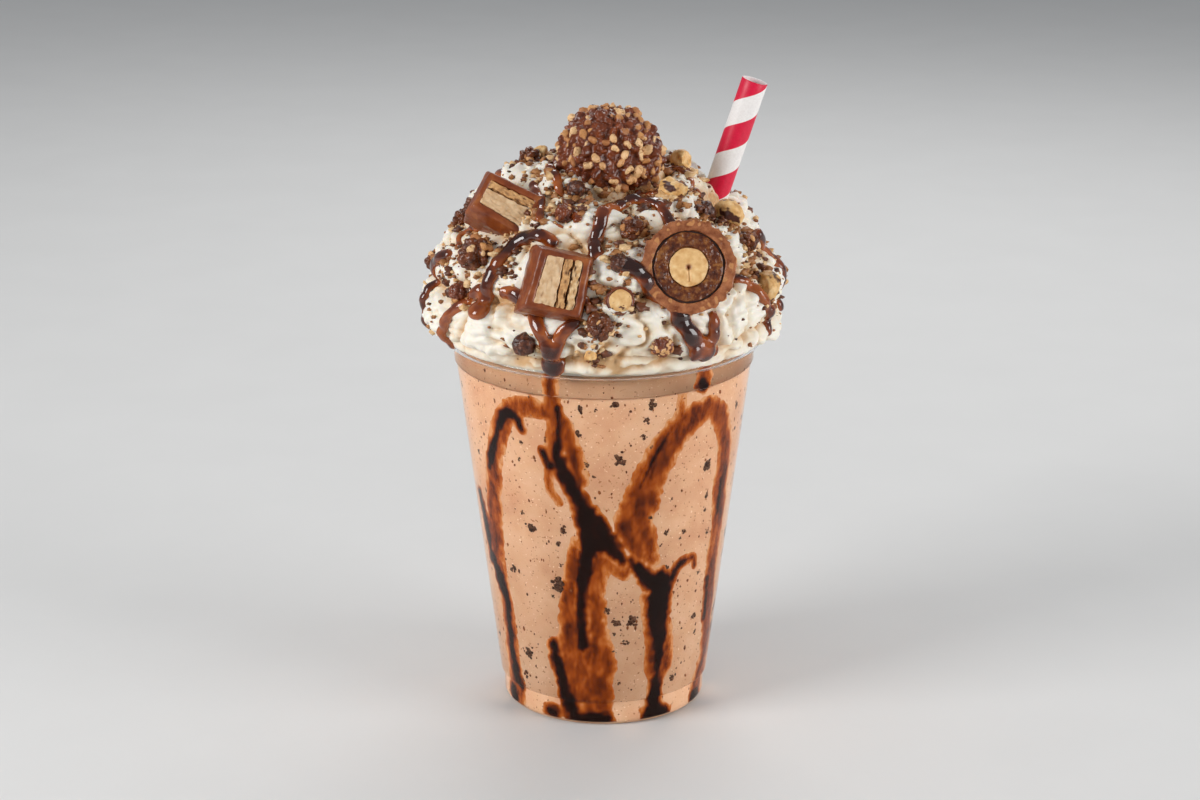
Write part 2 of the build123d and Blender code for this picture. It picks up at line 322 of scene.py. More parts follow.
def plain_finish(name, size, stops, settings, detail=3.0, roughness=0.5, bump=None, relief=0.1):
    """A finish whose colour drifts along a ramp. Bump is the size and detail of a fine relief."""
    finish = new_material(name)
    clouds = lumps(finish, size, detail, roughness)
    colour = add(finish, "ValToRGB", {"Fac": clouds, "stops": stops})
    height = lumps(finish, *bump) if bump else None
    surface(finish, colour, settings, height, relief)
    return finish


def light_inside(share, red, green, blue):
    """Settings that let light go a little way in: for each colour, how far in millimetres."""
    return {"Subsurface Weight": share, "Subsurface Radius": (red * MM, green * MM, blue * MM)}


# %% [markdown]
# ## Camera, light and floor
# The camera looks down at the drink by 18 degrees from the front. A big soft lamp above left
# is the key, a weaker one fills the right, and one behind draws the edges of glass and sauce.

# %% Camera
scene = bpy.context.scene
scene.view_settings.view_transform = "Standard"
camera_data = bpy.data.cameras.new("camera")
camera_data.sensor_width = 36.0
camera_data.lens = 87.9
camera_data.clip_end = 20.0
camera = bpy.data.objects.new("camera", camera_data)
camera_down = 18
camera.location = Vector((-1.2, -860.0, 375.0)) * MM
camera.rotation_euler = (radians(90 - camera_down), 0, 0)
scene.collection.objects.link(camera)
scene.camera = camera

# %% Lamps and world
def soft_lamp(name, place, aim, size, power, colour="#ffffff"):
    data = bpy.data.lights.new(name, "AREA")
    data.shape = "RECTANGLE"
    data.size = size[0]
    data.size_y = size[1]
    data.energy = power
    data.color = linear(colour)[:3]
    lamp = bpy.data.objects.new(name, data)
    lamp.location = place
    lamp.rotation_euler = (Vector(aim) - Vector(place)).to_track_quat("-Z", "Y").to_euler()
    scene.collection.objects.link(lamp)


soft_lamp("key", (-0.92, -0.5, 0.55), (0, 0, 0.11), (0.5, 0.5), 9.1)
soft_lamp("fill", (1.0, -0.46, 0.36), (0, 0, 0.09), (0.6, 0.6), 7.6)
soft_lamp("back", (0.15, 0.75, 0.7), (0, 0, 0.13), (0.8, 0.3), 3.4)

world = bpy.data.worlds.new("studio")
scene.world = world
world.use_nodes = True
sky = world.node_tree.nodes["Background"].inputs
sky["Color"].default_value = linear("#dfe3e8")
sky["Strength"].default_value = 0.42

# %% Floor
bpy.ops.mesh.primitive_plane_add(size=8.0, location=(0, 0, -0.0002))
floor = bpy.context.active_object
floor.name = "floor"
floor_stops = [(0.3, "#dad9d7"), (0.7, "#dcdbd9")]
floor_paint = plain_finish("matt pale paint", 40.0, floor_stops, {"Roughness": 0.7})
floor.data.materials.append(floor_paint)

# %% [markdown]
# ## The cup
# A thin clear cup is formed from heated PET sheet over a mould, and its edge is then rolled
# outwards. It is a shape of revolution, so its section is drawn once as a line of points and
# spun round the axis. The sizes are those of the CAD cup.

# %% Sizes of the cup
cup_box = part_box("cup")
rim_radius = cup_box[1].x / MM
cup_height = cup_box[1].z / MM
cup_wall = 0.5
bead = 1.7
bead_middle = (rim_radius - bead, cup_height - bead)
neck_radius = rim_radius - 2 * bead + cup_wall
band_radius = neck_radius - 0.2
foot_radius = 31.3
shake_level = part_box("shake")[1].z / MM
print("rim", round(rim_radius, 2), "height", round(cup_height, 2), "level", round(shake_level, 2))

outer_corners = [
    (0, 3.0, 0),
    (foot_radius - 6.1, 3.0, 1.0),
    (foot_radius - 4.6, 0, 0.5),
    (foot_radius, 0, 2.0),
    (foot_radius + 0.3, 8.0, 0.35),
    (foot_radius + 1.2, 8.45, 0.35),
    (band_radius - 0.6, cup_height - 10.0, 0.3),
    (band_radius, cup_height - 9.4, 0.3),
    (neck_radius, bead_middle[1], 0),
]


# %% The cup's line, with rounded corners
def rounded_line(corners, steps=6):
    """Points along straight runs. Each corner (r, z, radius) is rounded by an arc."""
    line = []
    for i, (r, z, radius) in enumerate(corners):
        here = np.array([r, z], float)
        if radius == 0 or i in (0, len(corners) - 1):
            line.append(here)
            continue
        back = np.array(corners[i - 1][:2], float) - here
        on = np.array(corners[i + 1][:2], float) - here
        back /= np.linalg.norm(back)
        on /= np.linalg.norm(on)
        half = np.arccos(np.clip(back @ on, -1, 1)) / 2
        reach = radius / np.tan(half)
        middle = here + (back + on) / np.linalg.norm(back + on) * radius / np.sin(half)
        start = here + back * reach - middle
        end = here + on * reach - middle
        for k in range(steps + 1):
            t = k / steps
            turn = 2 * (pi / 2 - half)
            both = (sin((1 - t) * turn) * start + sin(t * turn) * end) / sin(turn)
            line.append(middle + both)
    return np.array(line)


def inside_line(line, depth):
    """The line moved inwards, towards the cup's axis, by depth."""
    along = np.gradient(line, axis=0)
    along /= np.linalg.norm(along, axis=1)[:, None]
    normal = np.stack([-along[:, 1], along[:, 0]], 1)
    moved = line + normal * depth
    moved[0, 0] = 0.0
    return moved


outer_line = rounded_line(outer_corners)
inner_line = inside_line(outer_line, cup_wall)
inner_line[-1] = (neck_radius - cup_wall, bead_middle[1])


def curl(radius, start, end, steps=26):
    """Points along the rolled rim, between two angles in degrees."""
    turns = np.radians(np.linspace(start, end, steps))
    return np.stack([np.cos(turns), np.sin(turns)], 1) * radius + bead_middle


outside_curl = curl(bead, 175, -95)
inside_curl = curl(bead - cup_wall, -95, 175)
section = np.vstack([inner_line, outside_curl, inside_curl, outer_line[::-1]])
print("cup section of", len(section), "points")


# %% Spin the section round the axis
def spun_piece(name, line, steps=192):
    points = np.stack([line[:, 0], np.zeros(len(line)), line[:, 1]], 1)
    edges = [(i, i + 1) for i in range(len(points) - 1)]
    piece = mesh_piece(name, points, [], edges)
    pick(piece)
    mode("EDIT")
    select_all()
    bpy.ops.mesh.spin(steps=steps, angle=2 * pi, center=(0, 0, 0), axis=(0, 0, 1))
    select_all()
    bpy.ops.mesh.remove_doubles(threshold=0.01 * MM)
    mode("OBJECT")
    return piece


cup = spun_piece("cup_clear", section)

# %% [markdown]
# PET is as clear as glass, with an index near 1.57. Wet inside, it throws back less than it
# would with air behind it, so a lower index is used. Lamps shine through it without the dark
# shadow that solid glass would throw, so shadow rays see it as nearly transparent.

# %% Clear PET, thermoformed
pet = new_material("clear PET, thermoformed")
pet_waves = lumps(pet, 9.0, detail=1.0)
clear = {"Roughness": 0.03, "IOR": 1.22, "Transmission Weight": 1.0}
pet_shader = surface(pet, "#fbfcfd", clear, height=pet_waves, relief=0.05, output=False)
shadow_ray = add(pet, "LightPath", {}, "Is Shadow Ray")
let_through = add(pet, "BsdfTransparent", {"Color": "#f6f7f8"})
pet_mix = add(pet, "MixShader", {0: shadow_ray, 1: pet_shader, 2: let_through})
add(pet, "OutputMaterial", {"Surface": pet_mix})
finish_piece(cup, "cup_clear", pet, ["cup"])

# %% [markdown]
# ## The shake
# The drink fills the cup. Its mesh reaches a little way into the clear wall, because a gap of
# air between drink and wall would show as a silver skin.

# %% The body of the shake
into_wall = 0.15
shake_line = inside_line(outer_line, cup_wall - into_wall)
inside_heights = shake_line[1:, 1]
inside_radii = shake_line[1:, 0]
wall_part = slice(int(np.argmax(inside_radii > foot_radius - 1.5)), None)


def wall_radius(height):
    """Radius of the shake's surface against the wall, at a height."""
    return np.interp(height, inside_heights[wall_part], inside_radii[wall_part])


below_level = shake_line[shake_line[:, 1] < shake_level - 0.3]
top_line = [(wall_radius(shake_level), shake_level), (0, shake_level)]
shake = spun_piece("shake_chocolate", np.vstack([below_level, top_line]))

# %% [markdown]
# Milk, ice cream and chocolate make a thick drink the colour of milky coffee. Light goes a
# few millimetres into it. It is full of small bubbles and dark grains of chocolate. Just under
# the rim it is painted darker: a painted shade where the cream's overhang shadows it.

# %% Chocolate shake
shake_finish = new_material("thick chocolate shake")
shake_clouds = lumps(shake_finish, 16.0, detail=4.0, roughness=0.6)
shake_colour = add(
    shake_finish,
    "ValToRGB",
    {"Fac": shake_clouds, "stops": [(0.3, "#ca9673"), (0.5, "#d5a682"), (0.72, "#dfb593")]},
)
shake_grains = lumps(shake_finish, 1.0, detail=1.5)
grain_share = add(
    shake_finish,
    "MapRange",
    {**soft_step, "Value": shake_grains, "From Min": 0.64, "From Max": 0.74},
)
shake_colour = add(
    shake_finish, "Mix", {**of_colours, 0: grain_share, 6: shake_colour, 7: "#a8724c"}, 2
)
shake_bubbles = lumps(shake_finish, 0.8, detail=1.0)
bubble_share = add(
    shake_finish,
    "MapRange",
    {**soft_step, "Value": shake_bubbles, "From Min": 0.68, "From Max": 0.78},
)
shake_colour = add(
    shake_finish, "Mix", {**of_colours, 0: bubble_share, 6: shake_colour, 7: "#f0d2b0"}, 2
)
# Painted shade: the shake's colour is darkened in the top few millimetres under the rim, where the
# cream's overhang shadows it.
shake_place = add(shake_finish, "TexCoord", {}, "Object")
shake_height = add(shake_finish, "SeparateXYZ", {"Vector": shake_place}, "Z")
painted_rim_shade = add(
    shake_finish,
    "MapRange",
    {**soft_step, "Value": shake_height, "From Min": 0.109, "From Max": 0.123},
)
shake_colour = add(
    shake_finish, "Mix", {**of_colours, 0: painted_rim_shade, 6: shake_colour, 7: "#ad7850"}, 2
)
surface(
    shake_finish,
    shake_colour,
    {"Roughness": 0.4, "IOR": 1.1, "Subsurface Scale": 1.0, **light_inside(0.2, 4.0, 2.2, 1.2)},
)
finish_piece(shake, "shake_chocolate", shake_finish, ["shake"])

# %% [markdown]
# ## Sauce on the inner wall
# Chocolate sauce was swirled round the cup before the shake went in. It clings to the wall in
# loops, drips and smears: thick ones are nearly black, thin ones caramel brown. Each stroke
# is a list of (degrees round from the front, height in mm). A fine sheet of points over the
# shake's surface is raised into the wall wherever a stroke is near, by as much as it is thick.

# %% Strokes: thickness from 0 to 1, and points (degrees, height, half width)
thin = 0.42
deep = 0.95
wall_strokes = [
    (thin, [(-20, 104, 2.4), (-30, 106, 2.8), (-40, 103, 3.2), (-49, 92, 3.6), (-54, 80, 3.6)]),
    (thin, [(-54, 80, 3.6), (-58, 64, 3.8), (-60, 50, 3.6), (-57, 40, 2.8), (-57, 26, 3.4)]),
    (thin, [(-57, 26, 3.4), (-58, 12, 3.4), (-58, 2, 3.6)]),
    (thin, [(-20, 119, 1.9), (-20, 106, 2.1), (-20, 95, 2.2), (-21, 88, 2.0)]),
    (thin, [(-16, 102, 2.2), (-13, 94, 2.4), (-10, 84, 2.0)]),
    (thin, [(-12, 63, 1.6), (-15, 50, 2.2), (-17, 36, 3.0), (-17, 24, 4.2), (-15, 12, 5.2)]),
    (thin, [(-4, 56, 2.8), (-4, 44, 2.5), (-3, 32, 3.0), (0, 20, 3.6)]),
    (thin, [(-11, 23, 4.5), (-6, 15, 5.2), (-4, 8, 4.6), (-6, 3, 4.2)]),
    (thin, [(44, 103, 3.6), (35, 101, 4.2), (27, 95, 4.6), (20, 86, 5.0), (16, 77, 5.4)]),
    (thin, [(16, 77, 5.4), (13, 70, 5.4), (17, 62, 4.4), (21, 57, 2.6)]),
    (thin, [(31, 109, 1.0), (31, 102, 1.8)]),
    (thin, [(44, 104, 3.2), (53, 99, 3.6), (60, 88, 3.8), (61, 76, 4.0), (63, 62, 3.8)]),
    (thin, [(63, 62, 3.8), (63, 48, 3.6), (66, 32, 3.8), (70, 18, 3.8), (67, 2, 4.0)]),
    (thin, [(41, 119, 2.6), (41, 114, 2.6)]),
    (thin, [(20, 44, 1.6), (24, 32, 1.8), (27, 18, 2.4), (34, 20, 2.2), (33, 34, 1.2)]),
    (thin, [(-23, 86, 1.1), (-23, 80, 0.9), (-19, 76, 0.8)]),
    (thin, [(-5, 57, 1.0), (0, 58, 1.2), (5, 55, 1.4), (9, 52, 1.1), (12, 55, 0.9)]),
    (deep, [(-34, 98, 1.4), (-37, 102, 1.8), (-42, 102, 2.2), (-47, 96, 1.6)]),
    (deep, [(-47, 96, 1.6), (-53, 87, 2.4), (-56, 82, 1.4)]),
    (deep, [(-65, 51, 1.8), (-60, 44, 2.8), (-56, 36, 2.0), (-57, 22, 2.2), (-55, 8, 2.6)]),
    (deep, [(-18, 107, 1.1), (-18, 99, 1.5), (-19, 92, 1.9), (-18, 88, 2.3)]),
    (deep, [(-25, 92, 1.4), (-22, 88, 1.8)]),
    (deep, [(-18, 90, 2.6), (-14, 82, 2.6), (-10, 76, 2.9), (-6, 70, 4.3), (-2, 64, 4.0)]),
    (deep, [(-2, 64, 4.0), (3, 62, 3.2), (8, 57, 1.7)]),
    (deep, [(-6, 66, 3.4), (-8, 58, 2.9), (-10, 48, 2.1), (-11, 38, 1.8), (-11, 28, 2.2)]),
    (deep, [(-26, 27, 2.0), (-24, 20, 2.3), (-20, 10, 2.6), (-17, 1, 2.4)]),
    (deep, [(26, 98, 0.9), (20, 90, 1.0), (15, 81, 1.0)]),
    (deep, [(60, 77, 1.8), (61, 66, 1.6)]),
    (deep, [(60, 44, 1.6), (62, 30, 1.4)]),
    (deep, [(40, 112, 2.6), (40.5, 111.5, 2.6)]),
    (deep, [(12, 57, 1.4), (17, 53, 2.6), (24, 48, 3.6), (29, 47, 3.2)]),
    (deep, [(28, 49, 3.9), (27, 42, 4.2), (28, 34, 3.6), (29, 26, 2.6), (29, 17, 1.5)]),
    (deep, [(29, 17, 1.5), (29, 11, 2.4), (30, 4, 3.2)]),
    (deep, [(33, 49, 1.9), (37, 53, 1.4), (45, 54, 1.1), (47, 51, 0.7)]),
    (deep, [(-72, 70, 2.0), (-68, 60, 2.4), (-67, 49, 1.8)]),
    (deep, [(-64, 4, 3.4), (-62, 3, 3.4)]),
    (deep, [(-32, 3, 2.4), (-30, 3, 2.4)]),
    (deep, [(-16, 2, 3.0), (0, 2, 3.2)]),
    (deep, [(28, 3, 3.4), (34, 2, 3.4)]),
    (deep, [(64, 2, 3.0), (68, 2, 3.0)]),
    (thin, [(92, 110, 2.6), (102, 104, 3.4), (112, 92, 4.0), (117, 76, 4.2), (115, 60, 3.6)]),
    (thin, [(115, 60, 3.6), (121, 42, 3.0), (118, 22, 3.4), (120, 4, 3.6)]),
    (deep, [(104, 102, 1.4), (112, 90, 2.0), (117, 74, 2.4), (115, 58, 1.8), (120, 42, 1.2)]),
    (thin, [(95, 112, 2.4), (88, 100, 2.8), (86, 84, 2.2), (90, 66, 3.0), (87, 48, 1.8)]),
    (deep, [(118, 78, 2.2), (130, 66, 3.2), (143, 60, 3.8), (150, 44, 3.0), (148, 26, 2.4)]),
    (thin, [(152, 52, 3.2), (156, 34, 3.8), (154, 16, 4.6), (152, 4, 4.6)]),
    (thin, [(140, 119, 2.0), (139, 106, 2.2), (141, 94, 1.6)]),
    (deep, [(139, 108, 1.2), (141, 96, 1.8)]),
    (thin, [(172, 108, 3.2), (163, 98, 4.0), (158, 84, 4.6), (162, 68, 4.4), (170, 56, 3.0)]),
    (thin, [(-172, 106, 2.8), (-160, 110, 3.2), (-149, 103, 3.8), (-143, 90, 3.8), (-142, 72, 3.4)]),
    (deep, [(-160, 107, 1.6), (-150, 100, 2.0), (-144, 88, 1.8)]),
    (deep, [(-172, 104, 2.4), (-177, 90, 2.8), (-174, 74, 3.6), (-170, 58, 2.8), (-172, 38, 2.0)]),
    (thin, [(-166, 60, 2.2), (-167, 42, 3.2), (-170, 24, 4.0), (-170, 6, 4.4)]),
    (thin, [(-142, 72, 3.4), (-145, 54, 3.0), (-140, 36, 3.2), (-143, 18, 3.4), (-140, 3, 3.4)]),
    (deep, [(-145, 50, 1.6), (-140, 34, 2.0), (-143, 16, 1.8)]),
    (thin, [(-128, 102, 3.2), (-120, 90, 4.2), (-112, 80, 4.4), (-103, 70, 3.6), (-98, 56, 3.0)]),
    (deep, [(-124, 94, 1.8), (-114, 81, 2.6), (-104, 70, 2.4), (-99, 54, 1.8), (-100, 38, 2.2)]),
    (thin, [(-100, 119, 1.9), (-101, 106, 2.2), (-99, 94, 1.8)]),
    (thin, [(-96, 40, 2.2), (-95, 24, 3.0), (-98, 6, 4.0)]),
    (deep, [(100, 3, 3.0), (106, 2, 3.0)]),
    (deep, [(162, 3, 3.2), (172, 3, 3.2)]),
    (deep, [(-124, 3, 3.0), (-114, 2, 3.0)]),
]
# Cookie crumbs against the wall: (degrees, height, half width).
wall_crumbs = [
    (-9, 107, 1.1), (-3, 107, 0.6), (4, 109, 1.3), (18, 108, 1.4), (17, 103, 1.1), (16, 98, 0.9),
    (19, 94, 0.7), (-10, 99, 1.1), (6, 91, 1.7), (-7, 89, 0.9), (-4, 85, 0.6), (-35, 94, 0.7),
    (-37, 88, 0.6), (-34, 66, 1.6), (-38, 70, 0.6), (-18, 67, 1.2), (-21, 62, 1.0), (-47, 50, 1.4),
    (-22, 48, 2.0), (-20, 55, 0.6), (-25, 44, 0.6), (20, 71, 1.0), (28, 65, 0.9), (30, 76, 0.6),
    (38, 64, 0.8), (36, 62, 0.6), (30, 53, 0.8), (48, 84, 1.7), (50, 74, 1.0), (50, 69, 0.8),
    (54, 61, 0.8), (51, 48, 0.8), (52, 33, 1.2), (1, 40, 1.0), (6, 36, 1.4), (14, 36, 1.7),
    (11, 29, 0.9), (5, 32, 0.7), (5, 26, 0.6), (-42, 22, 1.7), (-47, 14, 1.1), (-50, 11, 0.8),
    (40, 14, 1.2), (54, 27, 0.8), (-65, 85, 0.9), (8, 15, 0.6), (66, 100, 1.0), (68, 92, 0.8),
]


# %% The sheet of sauce
def line_distance(points, line):
    """Distance of each point to a line of straight runs, and how far along it that is."""
    best = np.full(len(points), 1e9)
    along = np.zeros(len(points))
    for k in range(len(line) - 1):
        a = line[k]
        run = line[k + 1] - a
        t = np.clip((points - a) @ run / max(run @ run, 1e-9), 0, 1)
        away = np.linalg.norm(points - a - t[:, None] * run, axis=1)
        nearer = away < best
        best = np.where(nearer, away, best)
        along = np.where(nearer, (k + t) / (len(line) - 1), along)
    return best, along


def smooth_path(points, steps=6):
    """A soft curve through the points, with steps parts in each run."""
    points = np.asarray(points, float)
    if len(points) < 3:
        return points
    ends = [2 * points[0] - points[1], *points, 2 * points[-1] - points[-2]]
    path = []
    for a, b, c, d in zip(ends, ends[1:], ends[2:], ends[3:]):
        for k in range(steps):
            t = k / steps
            bend = (2 * a - 5 * b + 4 * c - d) * t**2
            twist = (3 * b - a - 3 * c + d) * t**3
            path.append((2 * b + (c - a) * t + bend + twist) / 2)
    path.append(points[-1])
    return np.array(path)


columns = 460
rows = 188
turns = np.linspace(-180, 180, columns, endpoint=False)
heights = np.linspace(1.2, shake_level - 0.2, rows)
grid_turn, grid_height = np.meshgrid(turns, heights)
mean_radius = wall_radius(grid_height.ravel())
flat = np.stack([np.radians(grid_turn.ravel()) * mean_radius, grid_height.ravel()], 1)
turn = np.radians(grid_turn.ravel())
on_wall = np.stack([mean_radius * np.sin(turn), -mean_radius * np.cos(turn), flat[:, 1]], 1)
wobble = soft_noise(on_wall, 6.0, 1) * 0.9 + soft_noise(on_wall, 1.9, 2) * 1.0
thick = np.full(len(flat), -1.0)


def add_stroke(strength, points, edge, shift):
    """Raises the sheet along one stroke. Its edge wanders with the noise."""
    path = smooth_path(points)
    widths = path[:, 2]
    path = np.stack([np.radians(path[:, 0] + shift) * wall_radius(path[:, 1]), path[:, 1]], 1)
    near = np.abs(flat[:, 0] - path[:, 0].mean()) < np.ptp(path[:, 0]) / 2 + 12
    away, along = line_distance(flat[near], path)
    width = np.interp(along, np.linspace(0, 1, len(widths)), widths)
    width += wobble[near] * np.minimum(0.35 * width, 0.9)
    rise = np.clip((width + 0.3 * edge - away) / edge, -1, 1)
    thick[near] = np.maximum(thick[near], np.where(rise > 0, rise * strength, rise))


for strength, points in wall_strokes:
    for shift in (-360, 0, 360):
        add_stroke(strength, points, 2.4 if strength == thin else 2.3, shift)
print("sauce covers", round(float((thick > 0).mean()) * 100, 1), "% of the wall")

# %% Keep the sheet only where there is sauce
lift = np.clip(thick * 0.35, -0.14, 0.16)
lifted = mean_radius + lift
sheet = np.stack([lifted * np.sin(turn), -lifted * np.cos(turn), flat[:, 1]], 1)
used = thick.reshape(rows, columns) > -0.35
faces = []
for row in range(rows - 1):
    for i in range(columns):
        j = (i + 1) % columns
        if used[row, i] or used[row, j] or used[row + 1, i] or used[row + 1, j]:
            low = row * columns
            faces.append((low + i, low + j, low + columns + j, low + columns + i))
wall_sauce = mesh_piece("sauce_on_wall", sheet, faces)
paint(wall_sauce, "thickness", np.clip(thick, 0, 1))
pick(wall_sauce)
mode("EDIT")
select_all()
bpy.ops.mesh.delete_loose()
mode("OBJECT")
print("sheet of", len(faces), "faces")

# %% Chocolate sauce seen through the wall
wall_sauce_finish = new_material("chocolate sauce behind the wall")
sauce_depth = add(wall_sauce_finish, "Attribute", {"attribute_name": "thickness"}, "Fac")
sauce_clouds = lumps(wall_sauce_finish, 3.4, detail=5.0, roughness=0.65, stretch=2.2)
sauce_clouds = add(wall_sauce_finish, "Math", {"operation": "SUBTRACT", 0: sauce_clouds, 1: 0.5})
sauce_clouds = add(wall_sauce_finish, "Math", {"operation": "MULTIPLY", 0: sauce_clouds, 1: 1.3})
sauce_depth = add(wall_sauce_finish, "Math", {"operation": "ADD", 0: sauce_depth, 1: sauce_clouds})
sauce_colour = add(
    wall_sauce_finish,
    "ValToRGB",
    {
        "Fac": sauce_depth,
        "stops": [
            (0.0, "#c98f5f"),
            (0.12, "#b4662a"),
            (0.3, "#94430d"),
            (0.46, "#6e2b05"),
            (0.6, "#481805"),
            (0.74, "#240a04"),
            (0.9, "#150502"),
        ],
    },
)
surface(wall_sauce_finish, sauce_colour, {"Roughness": 0.3, "IOR": 1.1})
apply_modifier(wall_sauce, "SOLIDIFY", thickness=0.2 * MM, offset=-1.0)
finish_piece(wall_sauce, "sauce_on_wall", wall_sauce_finish, flip=False)

# %% [markdown]
# Crushed cookie floats in the shake. Where a crumb lies against the wall it shows as a dark
# ragged fleck, so each fleck is a few small flat lumps set close together, half sunk in the
# wall's inner face. Hundreds of finer ones are a single small lump each.

# %% Cookie flecks against the wall
rng = np.random.default_rng(11)


def lump_shape(detail):
    """Points and faces of a small ball, to be copied many times."""
    model = fine_ball(detail)
    shape = points_of(model)
    faces = np.array([face.vertices[:] for face in model.data.polygons])
    bpy.data.objects.remove(model)
    return shape, faces


def copies_piece(name, copies, faces):
    """One mesh of many copies of a shape, each with its own points."""
    size = len(copies[0])
    all_faces = np.concatenate([faces + k * size for k in range(len(copies))])
    return mesh_piece(name, np.concatenate(copies), all_faces.tolist())


def on_wall_lump(shape, degree, height, size, tall):
    """A flat lump against the wall's inner face, size across and tall times as high."""
    turn = radians(degree)
    across = np.array([cos(turn), sin(turn), 0.0])
    out = np.array([sin(turn), -cos(turn), 0.0])
    lumpy = shape * (1 + 0.22 * rng.normal(size=(len(shape), 1))).clip(0.55, 1.45)
    local = lumpy * np.array([size, 0.17, size * tall])
    radius = float(wall_radius(height)) - 0.02
    return (
        local[:, :1] * across
        + local[:, 1:2] * out
        + local[:, 2:] * np.array([0, 0, 1.0])
        + out * radius
        + np.array([0, 0, height])
    )


shape, faces = lump_shape(1)
copies = []
for _ in range(130):
    degree = rng.uniform(72, 288)
    wall_crumbs.append((degree, rng.uniform(8, 110), rng.uniform(0.5, 1.7)))
for degree, height, size in wall_crumbs:
    for _ in range(4 + int(7 * size)):
        side, up = rng.normal(0, 0.4 * size, 2)
        turned = degree + degrees(side / wall_radius(height))
        part = size * rng.uniform(0.22, 0.6)
        copies.append(on_wall_lump(shape, turned, height + 1.2 * up, part, rng.uniform(0.7, 1.4)))
flecks = copies_piece("cookie_flecks", copies, faces)
copies = []
for _ in range(1500):
    degree = rng.uniform(-180, 180)
    height = rng.uniform(2.5, shake_level - 1.0)
    size = 0.14 + 0.42 * rng.uniform() ** 2.5
    copies.append(on_wall_lump(shape, degree, height, size, rng.uniform(0.8, 2.0)))
fine_flecks = copies_piece("cookie_flecks_fine", copies, faces)
wet_crumb = {"Roughness": 0.5, "IOR": 1.1}
fleck_stops = [(0.35, "#2f1b12"), (0.65, "#6b4835")]
fleck_finish = plain_finish("cookie crumb in shake", 0.9, fleck_stops, wet_crumb)
finish_piece(flecks, "cookie_flecks", fleck_finish)
fine_stops = [(0.4, "#5c3420"), (0.6, "#93552f")]
fine_finish = plain_finish("fine cookie crumb in shake", 3.0, fine_stops, wet_crumb)
finish_piece(fine_flecks, "cookie_flecks_fine", fine_finish)

# %% [markdown]
# ## Whipped cream
# A thick rope of cream was piped round and round into a dome, then toppings were pressed in.
# The dome is a grid of rings. Each point is pushed out or in by the rope that it lies on, by
# the grooves of the star nozzle, and by soft noise. Near a topping it keeps to the CAD cream,
# so that each one sits as deep as it should.

# %% Sizes of the cream
widest = rim_radius + 4.5
belly = 6.0
dome = 53.0 - belly


def cad_ripple(rise, turn, radius):
    """How far the CAD cream's ridges stand out, at a height over the rim."""
    rope = 1.9 * np.cos(2 * pi * rise / 17.0 - turn)
    star = 1.0 * np.cos(10 * (turn + np.radians(2.4 * rise)))
    return radius / widest * (rope + star)


# %% Where toppings are pressed in
seats = []
for name in nodes:
    if name.startswith(("pearl", "nut_pearl", "cluster", "nut_chunk", "half_nut_core")):
        middle, size = node_middle(name)
        seats.append((middle, max(size, 2.6)))
for name in ("half_praline_filling", "wafer_bar_upper_cream", "wafer_bar_lower_cream"):
    seats.append((node_middle(name)[0], 11.0))
print(len(seats), "toppings pressed into the cream")

# %% The dome's grid
cream_columns = 480
turn_row = whole_turn(cream_columns)
under = [(45.7, -2.5), (45.7, -1.7)]
for angle in (150, 120, 90, 60, 42):
    r = bead_middle[0] + 1.62 * cos(radians(angle))
    under.append((r, bead_middle[1] + 1.62 * sin(radians(angle)) - cup_height))
belly_part = [
    (widest - 3.5 * ((belly - rise) / 6.6) ** 2, rise) for rise in np.linspace(-0.6, 5.6, 12)
]
dome_turns = np.radians(np.linspace(0, 88, 172))
dome_part = [(widest * cos(t), belly + dome * sin(t)) for t in dome_turns]
profile = np.array(under + belly_part + dome_part)
slope = np.gradient(profile, axis=0)
slope /= np.linalg.norm(slope, axis=1)[:, None]
out_r = slope[:, 1]
out_z = -slope[:, 0]
fade_in = np.clip((np.arange(len(profile)) - len(under) + 1) / 5.0, 0, 1)
arc = np.concatenate([np.linspace(-6.6, 0, 12), widest * 0.94 * dome_turns])
arc = np.concatenate([np.full(len(under), -6.6), arc])
shape = (len(profile), cream_columns)
turn = np.broadcast_to(turn_row, shape).ravel()
base_r = np.repeat(profile[:, 0], cream_columns)
base_z = np.repeat(profile[:, 1], cream_columns) + cup_height
away_r = np.repeat(out_r, cream_columns)
away_z = np.repeat(out_z, cream_columns)
along = np.repeat(arc, cream_columns)
base = np.stack([base_r * np.cos(turn), base_r * np.sin(turn), base_z], 1)
outward = np.stack([away_r * np.cos(turn), away_r * np.sin(turn), away_z], 1)

# %% The rope, its grooves, and the soft unevenness of whipped cream
warp = layered_noise(base, (3.4, 26.0, 3), (1.2, 9.0, 4))
lap = (along + warp + 6.95) / 19.0 - turn / (2 * pi)
across = 2 * (lap - np.round(lap))
rope = 1 - np.abs(across) ** 2.4
groove_phase = 2.6 * across + 1.5 * turn + 0.25 * warp
groove = 1 - np.abs(np.sin(pi * groove_phase)) ** 0.8
rough = soft_noise(base, 11.0, 5)
fine = soft_noise(base, 4.2, 6)
finest = soft_noise(base, 1.7, 7)
folded = base + 2.2 * np.stack([rough, soft_noise(base, 11.0, 8), fine], 1)
fold = np.exp(-((soft_noise(folded, 10.0, 9) / 0.11) ** 2))
small_fold = np.exp(-((soft_noise(folded, 5.0, 10) / 0.12) ** 2))
height = -2.0 + 3.9 * rope**0.7 - 0.75 * groove * rope + 1.5 * rough + 0.65 * fine
height += 0.2 * finest - 1.7 * fold - 0.7 * small_fold
near_rim = np.clip(1.3 - (base_z - cup_height) / 9.0, 0, 1)
height += near_rim * layered_noise(base, (1.3, 5.5, 12), (0.7, 2.6, 13))

# %% Peaks of cream beside the big praline
peaks = [(2, 57, -1.0, 6.0), (181, 58, 3.6, 5.5), (35, 62, 3.0, 6.0), (110, 60, 3.5, 7.0),
         (262, 50, 1.6, 5.0), (318, 54, 2.4, 5.0), (232, 62, 2.0, 5.0)]


